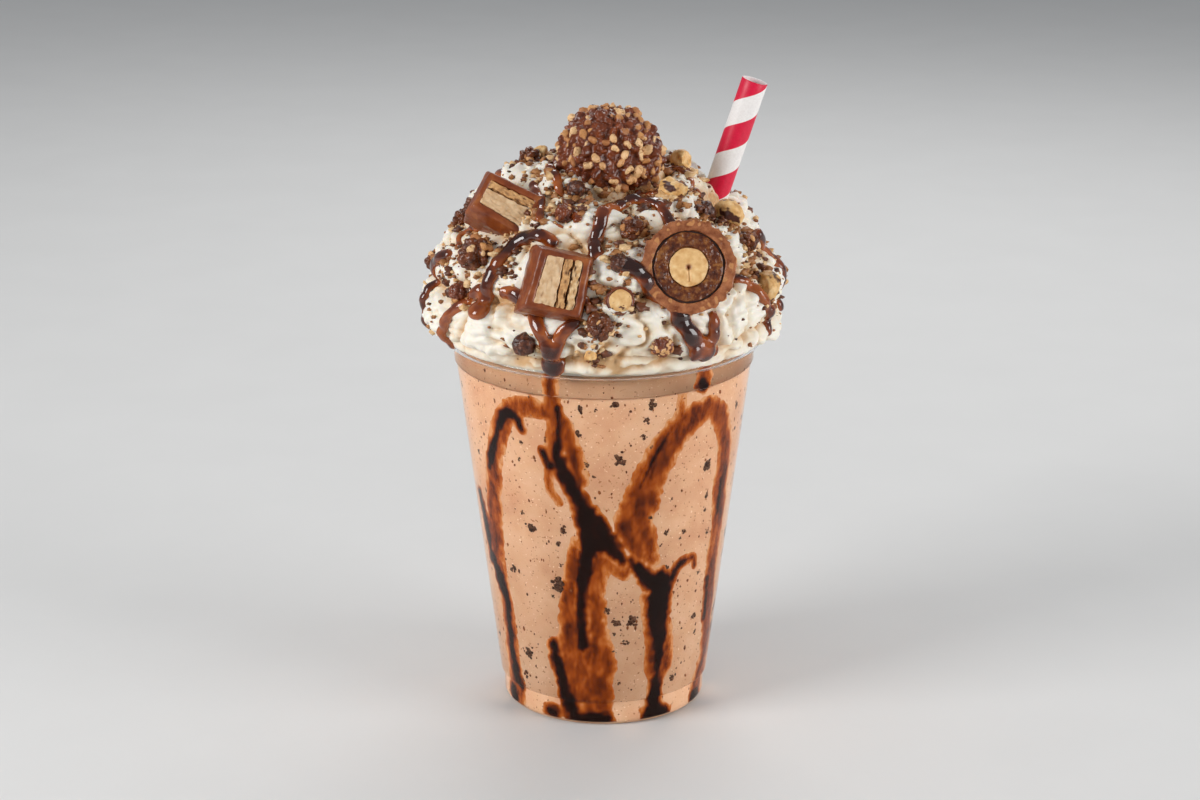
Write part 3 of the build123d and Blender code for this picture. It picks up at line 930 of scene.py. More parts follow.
def dome_place(azimuth, up):
    """A point of the plain dome, at an azimuth and an angle up its quarter turn."""
    a = radians(azimuth)
    u = radians(up)
    out = widest * cos(u)
    return np.array([out * cos(a), out * sin(a), cup_height + belly + dome * sin(u)])


for azimuth, up, tall, wide in peaks:
    height += tall * nearness(base, dome_place(azimuth, up), wide)

# %% Keep to the CAD cream near the toppings, then build the mesh
cad_height = cad_ripple(base_z - cup_height, turn, base_r) * np.clip(away_r, 0.2, 1)
hold = np.zeros(len(base))
for middle, size in seats:
    hold = np.maximum(hold, nearness(base, middle, 1.25 * size, 4))
height = height * (1 - hold) + (cad_height + 0.3 * fine) * hold
# Dips that show more of the praline's and the straw's foot.
dips = [(272, 70, 4.6, 10.0), (300, 66, 3.0, 8.0), (349, 49, 5.4, 8.0)]
for azimuth, up, deep_dip, wide in dips:
    height -= deep_dip * nearness(base, dome_place(azimuth, up), wide)
height *= np.repeat(fade_in, cream_columns)
# High in the valleys and folds of the cream: where the finish paints pale brown, partly painted shade
# in the creases and partly stain.
hollow = np.clip(0.5 - height / 5.0 + 0.2 * fold, 0, 1)
cream_points = base + outward * height[:, None]
cream = rings_piece("cream_whipped", cream_points.reshape(*shape, 3))
paint(cream, "hollow", np.concatenate([hollow, [0.5, 0.5]]))

# %% [markdown]
# Whipped cream is a soft foam: matt, nearly white, and light goes a little way in. In its
# creases and folds it is painted pale brown, partly a stain of sauce and crumbs and partly painted
# shade.

# %% Whipped cream finish
cream_finish = new_material("whipped cream")
# Painted shade with stain: noisy patches of pale brown, kept to the creases and folds.
stain_and_shade_patches = lumps(cream_finish, 14.0, detail=4.0, roughness=0.65)
stain_and_shade_share = add(cream_finish, "Attribute", {"attribute_name": "hollow"}, "Fac")
stain_and_shade_share = add(cream_finish, "Math", {"operation": "MULTIPLY", 0: stain_and_shade_share, 1: stain_and_shade_patches})
cream_colour = add(
    cream_finish,
    "ValToRGB",
    {"Fac": stain_and_shade_share, "stops": [(0.12, "#f3ecdf"), (0.3, "#eddfc8"), (0.5, "#cfa677")]},
)
cream_pores = lumps(cream_finish, 0.9, detail=3.0, roughness=0.6)
surface(
    cream_finish,
    cream_colour,
    {"Roughness": 0.42, "IOR": 1.4, "Subsurface Scale": 1.0, **light_inside(0.25, 2.5, 1.8, 1.0)},
    height=cream_pores,
    relief=0.12,
)
finish_piece(cream, "cream_whipped", cream_finish, ["cream"])
cream_tree = BVHTree.FromPolygons(
    [v.co / MM for v in cream.data.vertices], [p.vertices[:] for p in cream.data.polygons]
)
rim_middle = Vector((0, 0, cup_height))


# %% Finding a place on the cream
def on_cream(turn_from_front, elevation):
    """Point and outward direction on the cream, seen from the middle of the rim."""
    a = radians(turn_from_front)
    e = radians(elevation)
    way = Vector((sin(a) * cos(e), -cos(a) * cos(e), sin(e)))
    start = rim_middle + Vector((0, 0, 0.5))
    point, normal, _, _ = cream_tree.ray_cast(start, way)
    if point is None:
        point = rim_middle + way * 50
        normal = way
    if normal.dot(way) < 0:
        normal = -normal
    return np.array(point), np.array(normal)


# %% [markdown]
# ## Balls and lumps with chopped nuts
# The big praline, the small nutty pearls and the crunchy clusters are all a round core set
# with bits. A ball of fine triangles is raised into a rounded lump at each bit. Every lump
# notes whether it is bare nut or dipped in chocolate, and its shade, for the material.


# %% Raising the bits
def spread_ways(count, rng, jitter=0.35):
    """Directions spread over a ball, each moved a little at random."""
    i = np.arange(count) + 0.5
    z = 1 - 2 * i / count
    level = np.sqrt(1 - z**2)
    turn = pi * (3 - sqrt(5)) * i
    ways = np.stack([level * np.cos(turn), level * np.sin(turn), z], 1)
    ways += rng.normal(0, jitter * 2 / sqrt(count), ways.shape)
    return ways / np.linalg.norm(ways, axis=1)[:, None]


def raise_bits(ways, radius, bit_ways, sizes, tall, rng):
    """Height of the highest bit over each direction, and which bit that is."""
    best = np.zeros(len(ways))
    which = np.full(len(ways), -1)
    for k, (way, size) in enumerate(zip(bit_ways, sizes)):
        side = np.cross(way, rng.normal(size=3))
        side /= np.linalg.norm(side)
        other = np.cross(way, side)
        stretch = rng.uniform(0.75, 1.35)
        near = ways @ way > cos(min(3 * size / radius, 1.5))
        a = (ways[near] @ side) * radius / (size * stretch)
        b = (ways[near] @ other) * radius / (size / stretch)
        tip = rng.uniform(-0.4, 0.4, 2)
        away = (np.abs(a) ** 2.3 + np.abs(b) ** 2.3) ** (1 / 2.3)
        lump = np.clip(1 - away**2, 0, 1) ** 0.6 * (1 + tip[0] * a + tip[1] * b)
        lump *= tall * size * rng.uniform(0.7, 1.15)
        higher = lump > best[near]
        index = np.flatnonzero(near)[higher]
        best[index] = lump[higher]
        which[index] = k
    return best, which


def nutty_lump(name, middle, radius, bits, bit_size, tall, bare, seed, level=5, rough=0.1):
    """A ball set with bits: its mesh in place, with the attributes bare and shade."""
    rng = np.random.default_rng(seed)
    piece = fine_ball(level)
    ways = points_of(piece)
    ways /= np.linalg.norm(ways, axis=1)[:, None]
    bit_ways = spread_ways(bits, rng)
    sizes = bit_size * rng.uniform(0.6, 1.4, bits)
    up, which = raise_bits(ways, radius, bit_ways, sizes, tall, rng)
    place = ways * radius + np.array(middle)
    up += rough * bit_size * soft_noise(place * np.array([1, 1, 0.5]), bit_size * 1.3, seed)
    up += 0.5 * rough * bit_size * soft_noise(place, bit_size * 0.5, seed + 1)
    set_points(piece, place + ways * up[:, None])
    is_bare = np.append(rng.uniform(size=bits) < bare, False)[which]
    tops = np.append(sizes * tall, 1.0)[which]
    paint(piece, "bare", np.where(is_bare, np.clip(up / tops * 1.5, 0, 1), 0))
    paint(piece, "shade", np.append(rng.uniform(size=bits), 0.3)[which])
    piece.name = name
    return piece


# %% [markdown]
# The chocolate is milk chocolate, set and satin. Bare nut is roasted hazelnut: cream to tan,
# dry and a little rough. Chocolate smears the foot of each bit.


# %% Chopped nuts in chocolate
def nutty_material(name, dark, light, smear=0.45):
    """Chocolate from dark to light, and roasted nut where the attribute bare is high."""
    finish = new_material(name)
    clouds = lumps(finish, 2.6, detail=4.0, roughness=0.6)
    chocolate = add(finish, "ValToRGB", {"Fac": clouds, "stops": [(0.3, dark), (0.7, light)]})
    shade = add(finish, "Attribute", {"attribute_name": "shade"}, "Fac")
    nut = add(
        finish,
        "ValToRGB",
        {"Fac": shade, "stops": [(0.0, "#a8683a"), (0.4, "#cf9358"), (1.0, "#edc592")]},
    )
    flecks = lumps(finish, 0.7, detail=2.0)
    fleck_share = add(
        finish, "MapRange", {**soft_step, "Value": flecks, "From Min": 0.52, "From Max": 0.7}
    )
    nut = add(finish, "Mix", {**of_colours, 0: fleck_share, 6: nut, 7: "#a8703c"}, 2)
    smears = lumps(finish, 1.6, detail=3.0)
    bare = add(finish, "Attribute", {"attribute_name": "bare"}, "Fac")
    edge = add(finish, "Math", {"operation": "SUBTRACT", 0: bare, 1: smears})
    share = add(
        finish,
        "MapRange",
        {**soft_step, "Value": edge, "From Min": smear - 0.45, "From Max": smear - 0.08},
    )
    roughness = add(finish, "MapRange", {"To Min": 0.27, "To Max": 0.55, "Value": share})
    colour = add(finish, "Mix", {**of_colours, 0: share, 6: chocolate, 7: nut}, 2)
    surface(
        finish,
        colour,
        {"Roughness": roughness, "IOR": 1.5, **light_inside(0.08, 1.0, 0.6, 0.4)},
        height=lumps(finish, 0.5, detail=3.0, roughness=0.6),
        relief=0.06,
    )
    return finish


praline_finish = nutty_material("milk chocolate with chopped hazelnut", "#4c1a08", "#8a4420")
crunch_finish = nutty_material("crunchy nut cluster", "#3b1606", "#7e4019", smear=0.5)

# %% The whole praline
praline_low, praline_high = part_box("praline")
praline_middle = (praline_low + praline_high) / 2 / MM
praline_radius = 15.6
praline_middle.z = praline_high.z / MM - praline_radius - 1.5
praline = nutty_lump(
    "praline", praline_middle, praline_radius - 0.4, 340, 1.25, 1.1, 0.64, 21, 7, rough=0.4
)
# The chocolate set in uneven upright ridges.
out = points_of(praline) - np.array(praline_middle)
level = np.hypot(out[:, 0], out[:, 1]) / praline_radius
ridge_turn = 24 * np.arctan2(out[:, 1], out[:, 0]) + 3.0 * soft_noise(out, 7.0, 61)
set_points(praline, points_of(praline) + out * (0.03 * level * np.sin(ridge_turn))[:, None])
finish_piece(praline, "praline", praline_finish, ["praline"])

# %% Small nutty pearls and crunchy clusters
for k, name in nodes_named("nut_pearl"):
    middle, size = node_middle(name)
    bare = 0.6 if name == "nut_pearl_front_right" else 0.12
    pearl = nutty_lump(name + "_rolled", middle, size - 0.3, 60, 0.7, 0.8, bare, 40 + k, rough=0.3)
    finish_piece(pearl, name + "_rolled", praline_finish, [name])
for k, name in nodes_named("cluster"):
    middle, size = node_middle(name)
    cluster = nutty_lump(
        name + "_crunch", middle, size * 0.8, 34, size * 0.26, 0.95, 0.3, 60 + k, 6, rough=0.5
    )
    finish_piece(cluster, name + "_crunch", crunch_finish, [name])

# %% [markdown]
# ## Crisp pearls
# Small balls of puffed crisp under dark chocolate. Their skin is pitted and craggy, so a fine
# ball is pushed in and out by two sizes of noise.

# %% Dark crisp pearls
pearl_finish = plain_finish(
    "dark chocolate over crisp",
    1.2,
    [(0.3, "#2c120a"), (0.5, "#4c2413"), (0.75, "#7e4a30")],
    {"Roughness": 0.34, "IOR": 1.5},
    detail=4.0,
    bump=(0.45, 3.0),
    relief=0.12,
)
for k, name in nodes_named("pearl"):
    middle, size = node_middle(name)
    pearl = fine_ball(5)
    ways = points_of(pearl)
    place = ways * (size - 0.2)
    up = layered_noise(place, (0.5, 1.9, 80 + k), (0.3, 0.8, 90 + k))
    set_points(pearl, place + ways * up[:, None] + middle)
    finish_piece(pearl, name + "_crisp", pearl_finish, [name])

# %% [markdown]
# ## Broken hazelnuts
# A roasted nut breaks along flat planes and keeps some of its round side. A ball is cut by a
# few planes with bisect, rounded by a remesh, and roughened.

# %% Nut chunks
nut_finish = new_material("roasted hazelnut, broken")
nut_clouds = lumps(nut_finish, 2.4, detail=4.0)
nut_colour = add(
    nut_finish,
    "ValToRGB",
    {"Fac": nut_clouds, "stops": [(0.25, "#a8703a"), (0.45, "#dba965"), (0.7, "#f2cf98")]},
)
smears = lumps(nut_finish, 4.5, detail=2.0)
smear_share = add(
    nut_finish, "MapRange", {**soft_step, "Value": smears, "From Min": 0.58, "From Max": 0.64}
)
nut_colour = add(nut_finish, "Mix", {**of_colours, 0: smear_share, 6: nut_colour, 7: "#4a2012"}, 2)
surface(
    nut_finish,
    nut_colour,
    {"Roughness": 0.5, "IOR": 1.47, **light_inside(0.1, 1.5, 1.0, 0.6)},
    height=lumps(nut_finish, 0.6, detail=3.0),
    relief=0.1,
)
rng = np.random.default_rng(5)
for k, name in nodes_named("nut_chunk"):
    middle, size = node_middle(name)
    chunk = fine_ball(4, size * 1.08)
    mode("EDIT")
    for _ in range(4):
        way = Vector(rng.normal(size=3)).normalized()
        select_all()
        cut_at = way * size * rng.uniform(0.5, 0.72) * MM
        bpy.ops.mesh.bisect(plane_co=cut_at, plane_no=way, use_fill=True, clear_outer=True)
    mode("OBJECT")
    apply_modifier(chunk, "REMESH", mode="VOXEL", voxel_size=0.28 * MM)
    apply_modifier(chunk, "SMOOTH", factor=0.6, iterations=3)
    place = points_of(chunk)
    up = layered_noise(place, (0.35, 2.0, k), (0.15, 0.8, k + 9))
    push_out(chunk, up, middle)
    finish_piece(chunk, name + "_broken", nut_finish, [name])


# %% [markdown]
# ## Cut pieces
# The half praline, the half nut and the two wafer bar pieces each have a flat cut face. The
# CAD solid's own mesh gives the plane of that face: its direction is known, and its middle is
# the middle of the points that lie in it.


# %% The plane of a cut face
def cut_plane(name, azimuth, tilt, roll=0.0):
    """A matrix, in mm: x and y along the face, z out of it, origin in the face's middle."""
    a = radians(azimuth)
    t = radians(tilt)
    normal = np.array([cos(t) * cos(a), cos(t) * sin(a), sin(t)])
    level = np.array([-sin(a), cos(a), 0])
    upward = np.cross(normal, level)
    x = level * cos(radians(roll)) + upward * sin(radians(roll))
    y = np.cross(normal, x)
    points = points_of(nodes[name])
    out = points @ normal
    face = points[out > out.max() - 0.02]
    middle = np.zeros(3)
    for axis in (x, y, normal):
        reach = face @ axis
        middle += axis * (reach.min() + reach.max()) / 2
    return np.column_stack([x, y, normal]), middle


def in_place(piece, plane):
    """Turns a piece made round the origin, in mm, to lie at a cut plane."""
    axes, middle = plane
    set_points(piece, points_of(piece) @ axes.T + middle)
    return piece


def finish_cut(piece, plane, material, node):
    """Lays a piece at its cut plane, where it stands for one CAD node."""
    finish_piece(in_place(piece, plane), piece.name, material, [node])


# %% [markdown]
# The half praline shows its layers: a thick nutty chocolate shell, a thin dark wafer line,
# soft hazelnut filling, and a whole roasted nut cut through its middle.

# %% Half praline: the shell
half_plane = cut_plane("half_praline_nut", 272.0, 20.0)
half_radius = 13.4
turns = whole_turn(200)
rng = np.random.default_rng(31)
bit_ways = spread_ways(300, rng, 0.9)
bit_sizes = 1.05 * rng.uniform(0.5, 1.4, len(bit_ways))
dome_rows = np.radians(np.linspace(90, 178, 74))
ball_ways = np.array([ring(turns, sin(down), cos(down)) for down in dome_rows])
flat_ways = ball_ways.reshape(-1, 3)
up, which = raise_bits(flat_ways, half_radius, bit_ways, bit_sizes, 0.6, rng)
up += 0.25 * soft_noise(flat_ways * half_radius, 1.1, 32)
ball = (flat_ways * (half_radius + 0.1 + up)[:, None]).reshape(ball_ways.shape)
edge_radius = np.linalg.norm(ball[0], axis=1)
circle = ring(turns, 1.0, 0.0)
cut_rows = []
wander = layered_noise(circle * 10, (0.3, 4.0, 44), (0.12, 1.2, 45))
for r, z in ((10.5, -1.2), (10.55, -0.3), (10.7, -0.05)):
    cut_rows.append(ring(turns, r + wander, z))
for share in np.linspace(0.04, 1, 14):
    inner = 10.7 + wander
    row = circle * (inner + (edge_radius - 0.25 - inner) * share)[:, None]
    row[:, 2] = layered_noise(row, (0.26, 1.5, 33), (0.12, 0.7, 38))
    cut_rows.append(row)
shell = rings_piece("half_praline_shell_nutty", np.concatenate([np.array(cut_rows), ball]))
bare_bits = np.append(rng.uniform(size=len(bit_ways)) < 0.5, False)
shell_bare = np.where(bare_bits[which], np.clip(up / 0.75 * 1.5, 0, 1), 0)
face_points = np.array(cut_rows).reshape(-1, 3)
face_bare = np.clip(soft_noise(face_points, 1.5, 34) * 2.4 - 0.1, 0, 1)
paint(shell, "bare", np.concatenate([face_bare * 0.9, shell_bare, [0, 0]]))
shade = np.append(rng.uniform(size=len(bit_ways)), 0.3)[which]
paint(shell, "shade", np.concatenate([np.full(len(face_points), 0.2), shade, [0, 0]]))
shell_finish = nutty_material("praline shell, cut", "#6b3012", "#b4734a", smear=0.5)
finish_cut(shell, half_plane, shell_finish, "half_praline_shell")

# %% Half praline: the wafer line
line_stops = [(0.3, "#1f0c07"), (0.7, "#3a1a10")]
dark_line = plain_finish(
    "wafer soaked in chocolate", 1.0, line_stops, {"Roughness": 0.5}, bump=(0.5, 3.0)
)
line_rows = [(9.4, -6.0), (9.4, -0.85), (9.6, -0.65), (10.45, -0.65), (10.7, -0.9), (10.7, -6.0)]
line_rings = [ring(whole_turn(160), r, z) for r, z in line_rows]
wafer_line = rings_piece("half_praline_wafer_line", line_rings)
finish_cut(wafer_line, half_plane, dark_line, "half_praline_wafer")

# %% Half praline: the filling
filling_rows = []
for r in np.linspace(6.0, 10.05, 28):
    edge = min((r - 5.95) / 0.5, (10.1 - r) / 0.5, 1.0)
    wander = 0.3 * soft_noise(circle * 10, 2.6, 39) * np.clip((r - 6) / 4.0, 0.3, 1)
    row = circle * (r - 0.1 + wander)[:, None]
    grain = layered_noise(row, (0.42, 1.9, 35), (0.22, 0.8, 36))
    row[:, 2] = -0.35 + 0.35 * sqrt(max(edge, 0)) + grain
    filling_rows.append(row)
filling_rows = [ring(turns, 6.0, -2.0), *filling_rows, ring(turns, 9.6, -4.0)]
filling = rings_piece("half_praline_filling_soft", filling_rows)
filling_finish = plain_finish(
    "hazelnut chocolate filling",
    1.9,
    [(0.3, "#381203"), (0.48, "#5f2c10"), (0.68, "#96602f")],
    {"Roughness": 0.26, "IOR": 1.47},
    detail=4.0,
    roughness=0.65,
    bump=(0.6, 3.0),
    relief=0.15,
)
finish_cut(filling, half_plane, filling_finish, "half_praline_filling")

# %% Half praline: the whole nut, cut through
core_rows = []
for r in np.linspace(0.15, 5.6, 34):
    row = circle * (r * (1 + 0.012 * np.sin(3 * turns) + 0.012 * np.sin(7 * turns + 1)))[:, None]
    dimple = 0.75 * np.exp(-((r / 0.75) ** 2))
    crack = 0.5 * np.exp(-(((turns - 4.75) * r / 0.35) ** 2)) * (r < 4.2)
    edge = sqrt(max(1 - (r / 5.65) ** 8, 0))
    row[:, 2] = -0.35 + 0.45 * edge - dimple - crack + 0.05 * soft_noise(row, 1.2, 37)
    core_rows.append(row)
nut = rings_piece("half_praline_nut_cut", [*core_rows, ring(turns, 5.3, -3.0)])
core_radius = np.linalg.norm(points_of(nut)[:, :2], axis=1)
paint(nut, "middle", np.clip(1 - core_radius / 6.0, 0, 1))
core_finish = new_material("roasted hazelnut, cut")
core_clouds = lumps(core_finish, 1.8, detail=4.0)
middle_share = add(core_finish, "Attribute", {"attribute_name": "middle"}, "Fac")
core_colour = add(
    core_finish,
    "ValToRGB",
    {"Fac": core_clouds, "stops": [(0.3, "#cf9c5e"), (0.6, "#e6bd83"), (0.8, "#f0d3a2")]},
)
middle_share = add(
    core_finish,
    "MapRange",
    {**soft_step, "Value": middle_share, "From Min": 0.78, "From Max": 0.95},
)
core_colour = add(
    core_finish, "Mix", {**of_colours, 0: middle_share, 6: core_colour, 7: "#7a3c10"}, 2
)
surface(
    core_finish,
    core_colour,
    {"Roughness": 0.45, "IOR": 1.47, **light_inside(0.1, 1.5, 1.0, 0.6)},
    height=lumps(core_finish, 0.8, detail=3.0),
    relief=0.05,
)
finish_cut(nut, half_plane, core_finish, "half_praline_nut")

# %% [markdown]
# The small half nut is the same idea: a ball of nut in a rough chocolate skin, cut across.

# %% Half nut
nut_plane = cut_plane("half_nut_core", 278.0, 20.0)
core_rows = []
for r in np.linspace(0.1, 3.35, 20):
    row = circle * (r * (1 + 0.03 * np.sin(2 * turns) + 0.02 * np.sin(5 * turns)))[:, None]
    row[:, 2] = 0.3 * sqrt(max(1 - (r / 3.4) ** 6, 0)) - 0.2 + 0.08 * soft_noise(row, 1.1, 41)
    core_rows.append(row)
small_nut = rings_piece("half_nut_cut", [*core_rows, ring(turns, 2.9, -2.0)])
small_radius = np.linalg.norm(points_of(small_nut)[:, :2], axis=1)
paint(small_nut, "middle", np.clip(0.75 - small_radius / 3.4, 0, 1))
finish_cut(small_nut, nut_plane, core_finish, "half_nut_core")
coat_rows = [ring(turns, 3.35, z) for z in (-1.6, -0.1)]
for down in np.radians(np.linspace(80, 176, 34)):
    row = ring(turns, 4.15 * sin(down), 4.15 * cos(down) - 0.6)
    row *= (1 + layered_noise(row, (0.11, 1.5, 42), (0.05, 0.7, 43)))[:, None]
    coat_rows.append(row)
small_coat = rings_piece("half_nut_coat_rough", coat_rows)
for layer in ("bare", "shade"):
    paint(small_coat, layer, np.zeros(len(small_coat.data.vertices)))
finish_cut(small_coat, nut_plane, praline_finish, "half_nut_coat")

# %% [markdown]
# ## Wafer bar pieces
# A bar of milk chocolate is filled with thick cream and two thin wafers. Its coat is a block
# whose cut face is inset and pushed in to a pocket, and the layers stand in that pocket with
# dark lines of chocolate between them.

# %% Sizes of the bar
bar_half = 8.5
bar_flare = 1.4
bar_length = 13.0
bar_swell = 1.6
swell_depth = 4.5
bar_side = 2.1
filling_width = 4.8
wafer_width = 2.3
wafer_step = 2.85
dark_line_width = 0.4


# %% A block, and picking parts of it
def block(size, middle):
    """A block of a size, round a middle, both in millimetres."""
    deselect()
    bpy.ops.mesh.primitive_cube_add(size=1.0)
    cube = bpy.context.active_object
    stretched = Matrix.Diagonal((*(Vector(size) * MM), 1))
    put(cube, Matrix.Translation(Vector(middle) * MM) @ stretched)
    pick(cube)
    return cube


def select_where(piece, kind, test):
    """In edit mode, selects the vertices or the polygons that pass a test."""
    bpy.ops.mesh.select_mode(type="VERT" if kind == "vertices" else "FACE")
    select_all("DESELECT")
    mode("OBJECT")
    for element in getattr(piece.data, kind):
        element.select = test(element)
    mode("EDIT")


# %% The coat
def bar_coat(width, seed):
    coat = block((width, 2 * bar_half, swell_depth), (0, 0, -swell_depth / 2))
    mode("EDIT")
    select_where(coat, "polygons", lambda face: face.normal.z < -0.9)
    wider = 1 + 2 * bar_swell / width
    taller = 1 + bar_swell / bar_half
    bpy.ops.transform.resize(value=(wider, taller, 1.0))
    back = (0, 0, (swell_depth - bar_length) * MM)
    bpy.ops.mesh.extrude_region_move(TRANSFORM_OT_translate={"value": back})
    select_where(coat, "polygons", lambda face: face.normal.z > 0.9)
    bpy.ops.mesh.inset(thickness=1.6 * MM)
    bpy.ops.transform.resize(value=(0.91, 1.0, 1.0))
    bpy.ops.mesh.extrude_region_move(TRANSFORM_OT_translate={"value": (0, 0, -3.0 * MM)})
    select_where(coat, "vertices", lambda point: point.co.x < 0 and point.co.y < 0)
    bpy.ops.transform.translate(value=(-bar_flare * MM, 0, 0))
    mode("OBJECT")
    apply_modifier(coat, "BEVEL", width=0.5 * MM, segments=3, limit_method="ANGLE")
    apply_modifier(coat, "REMESH", mode="VOXEL", voxel_size=0.3 * MM)
    apply_modifier(coat, "SMOOTH", factor=0.5, iterations=2)
    push_out(coat, layered_noise(points_of(coat), (0.3, 5.0, seed), (0.14, 1.6, seed + 1)))
    return coat


# %% The layers
def bar_layer(low, width, lean, depth, seed, pores):
    """A slab from a place along x, with a crumbly face."""
    middle = low + width / 2
    slab = block((width, 2 * (bar_half - 1.2), 4.0), (middle, 0, depth - 2.0))
    mode("EDIT")
    select_where(slab, "vertices", lambda point: point.co.x / MM < middle and point.co.y < 0)
    bpy.ops.transform.translate(value=(-lean * MM, 0, 0))
    mode("OBJECT")
    apply_modifier(slab, "BEVEL", width=0.25 * MM, segments=2, limit_method="ANGLE")
    apply_modifier(slab, "REMESH", mode="VOXEL", voxel_size=0.22 * MM)
    place = points_of(slab)
    stretched = place * np.array([1.6, 0.6, 1.0])
    pits = np.clip(soft_noise(stretched, 1.1, seed) + 0.3 * pores - 0.3, 0, 1)
    push_out(slab, 0.3 * soft_noise(place, 1.6, seed + 1) - pores * pits)
    # Painted shade: the depth of each pit, which the finishes paint darker.
    paint(slab, "pit", np.clip(pits * pores * 1.6, 0, 1))
    return slab


# %% Milk chocolate, milk cream and wafer
coat_finish = plain_finish(
    "milk chocolate, moulded",
    4.0,
    [(0.3, "#6a2c0f"), (0.55, "#86411a"), (0.75, "#a5602f")],
    {"Roughness": 0.34, "IOR": 1.48, **light_inside(0.06, 1.0, 0.5, 0.3)},
    detail=4.0,
    bump=(1.4, 4.0),
)
bar_cream_finish = new_material("milk cream filling")
bar_cream_clouds = lumps(bar_cream_finish, 2.0, detail=4.0)
bar_cream_colour = add(
    bar_cream_finish,
    "ValToRGB",
    {"Fac": bar_cream_clouds, "stops": [(0.3, "#c69c6e"), (0.65, "#e0c098")]},
)
# Painted shade: the cream filling is painted darker in its pits.
pit_shade_share = add(bar_cream_finish, "Attribute", {"attribute_name": "pit"}, "Fac")
bar_cream_colour = add(
    bar_cream_finish, "Mix", {**of_colours, 0: pit_shade_share, 6: bar_cream_colour, 7: "#9c6a3a"}, 2
)
surface(
    bar_cream_finish,
    bar_cream_colour,
    {"Roughness": 0.5, **light_inside(0.2, 2.0, 1.4, 0.9)},
    height=lumps(bar_cream_finish, 0.7, detail=3.0),
    relief=0.12,
)


def wafer_material(name, dark, light):
    finish = new_material(name)
    clouds = lumps(finish, 1.2, detail=4.0)
    colour = add(finish, "ValToRGB", {"Fac": clouds, "stops": [(0.3, dark), (0.65, light)]})
    # Painted shade: the wafer is painted darker in its pits.
    pit_shade_share = add(finish, "Attribute", {"attribute_name": "pit"}, "Fac")
    colour = add(finish, "Mix", {**of_colours, 0: pit_shade_share, 6: colour, 7: "#55290f"}, 2)
    surface(
        finish,
        colour,
        {"Roughness": 0.7, **light_inside(0.1, 1.0, 0.7, 0.4)},
        height=lumps(finish, 0.4, detail=3.0),
        relief=0.15,
    )
    return finish


wafer_finishes = (
    wafer_material("baked wafer", "#b07a45", "#d9a970"),
    wafer_material("baked wafer, paler", "#c1925b", "#e6c597"),
)

# %% Both pieces, each at its own cut plane
bar_pieces = [
    ("wafer_bar_upper", 277.0, 34.0, 60.5, 1),
    ("wafer_bar_lower", 280.0, 20.0, -14.7, 2),
]
for k, (bar, azimuth, tilt, roll, wafers) in enumerate(bar_pieces):
    axes, middle = cut_plane(f"{bar}_coat", azimuth, tilt, roll)
    plane = (axes, middle + axes[:, 0] * bar_flare / 2)
    width = 2 * bar_side + filling_width + wafers * wafer_step
    start = bar_side - width / 2
    coat = bar_coat(width, 50 + 7 * k)
    slab = bar_layer(start, filling_width, bar_flare, 0.0, 53 + 9 * k, 0.5)
    bar_parts = [
        ("coat", "_moulded", coat, coat_finish, "milk_chocolate"),
        ("cream", "_cut", slab, bar_cream_finish, "milk_cream"),
    ]
    for i in range(wafers):
        low = start + filling_width + dark_line_width + wafer_step * i
        slab = bar_layer(low, wafer_width, 0, 0.1, 56 + 9 * k + i, 0.9)
        bar_parts.append((f"wafer_{i + 1}", "_cut", slab, wafer_finishes[i], "wafer"))
    for part, ending, piece, finish, slot in bar_parts:
        node = f"{bar}_{part}"
        finish_piece(in_place(piece, plane), node + ending, finish, [node])

# %% [markdown]
# ## Chocolate sauce over the cream
# Thick dark sauce was poured over last. Each stream is a row of flattened blobs along a path
# on the cream, merged into one skin by a fine voxel remesh, which rounds it as its own
# surface would. Where it lies thin its edge turns red-brown.

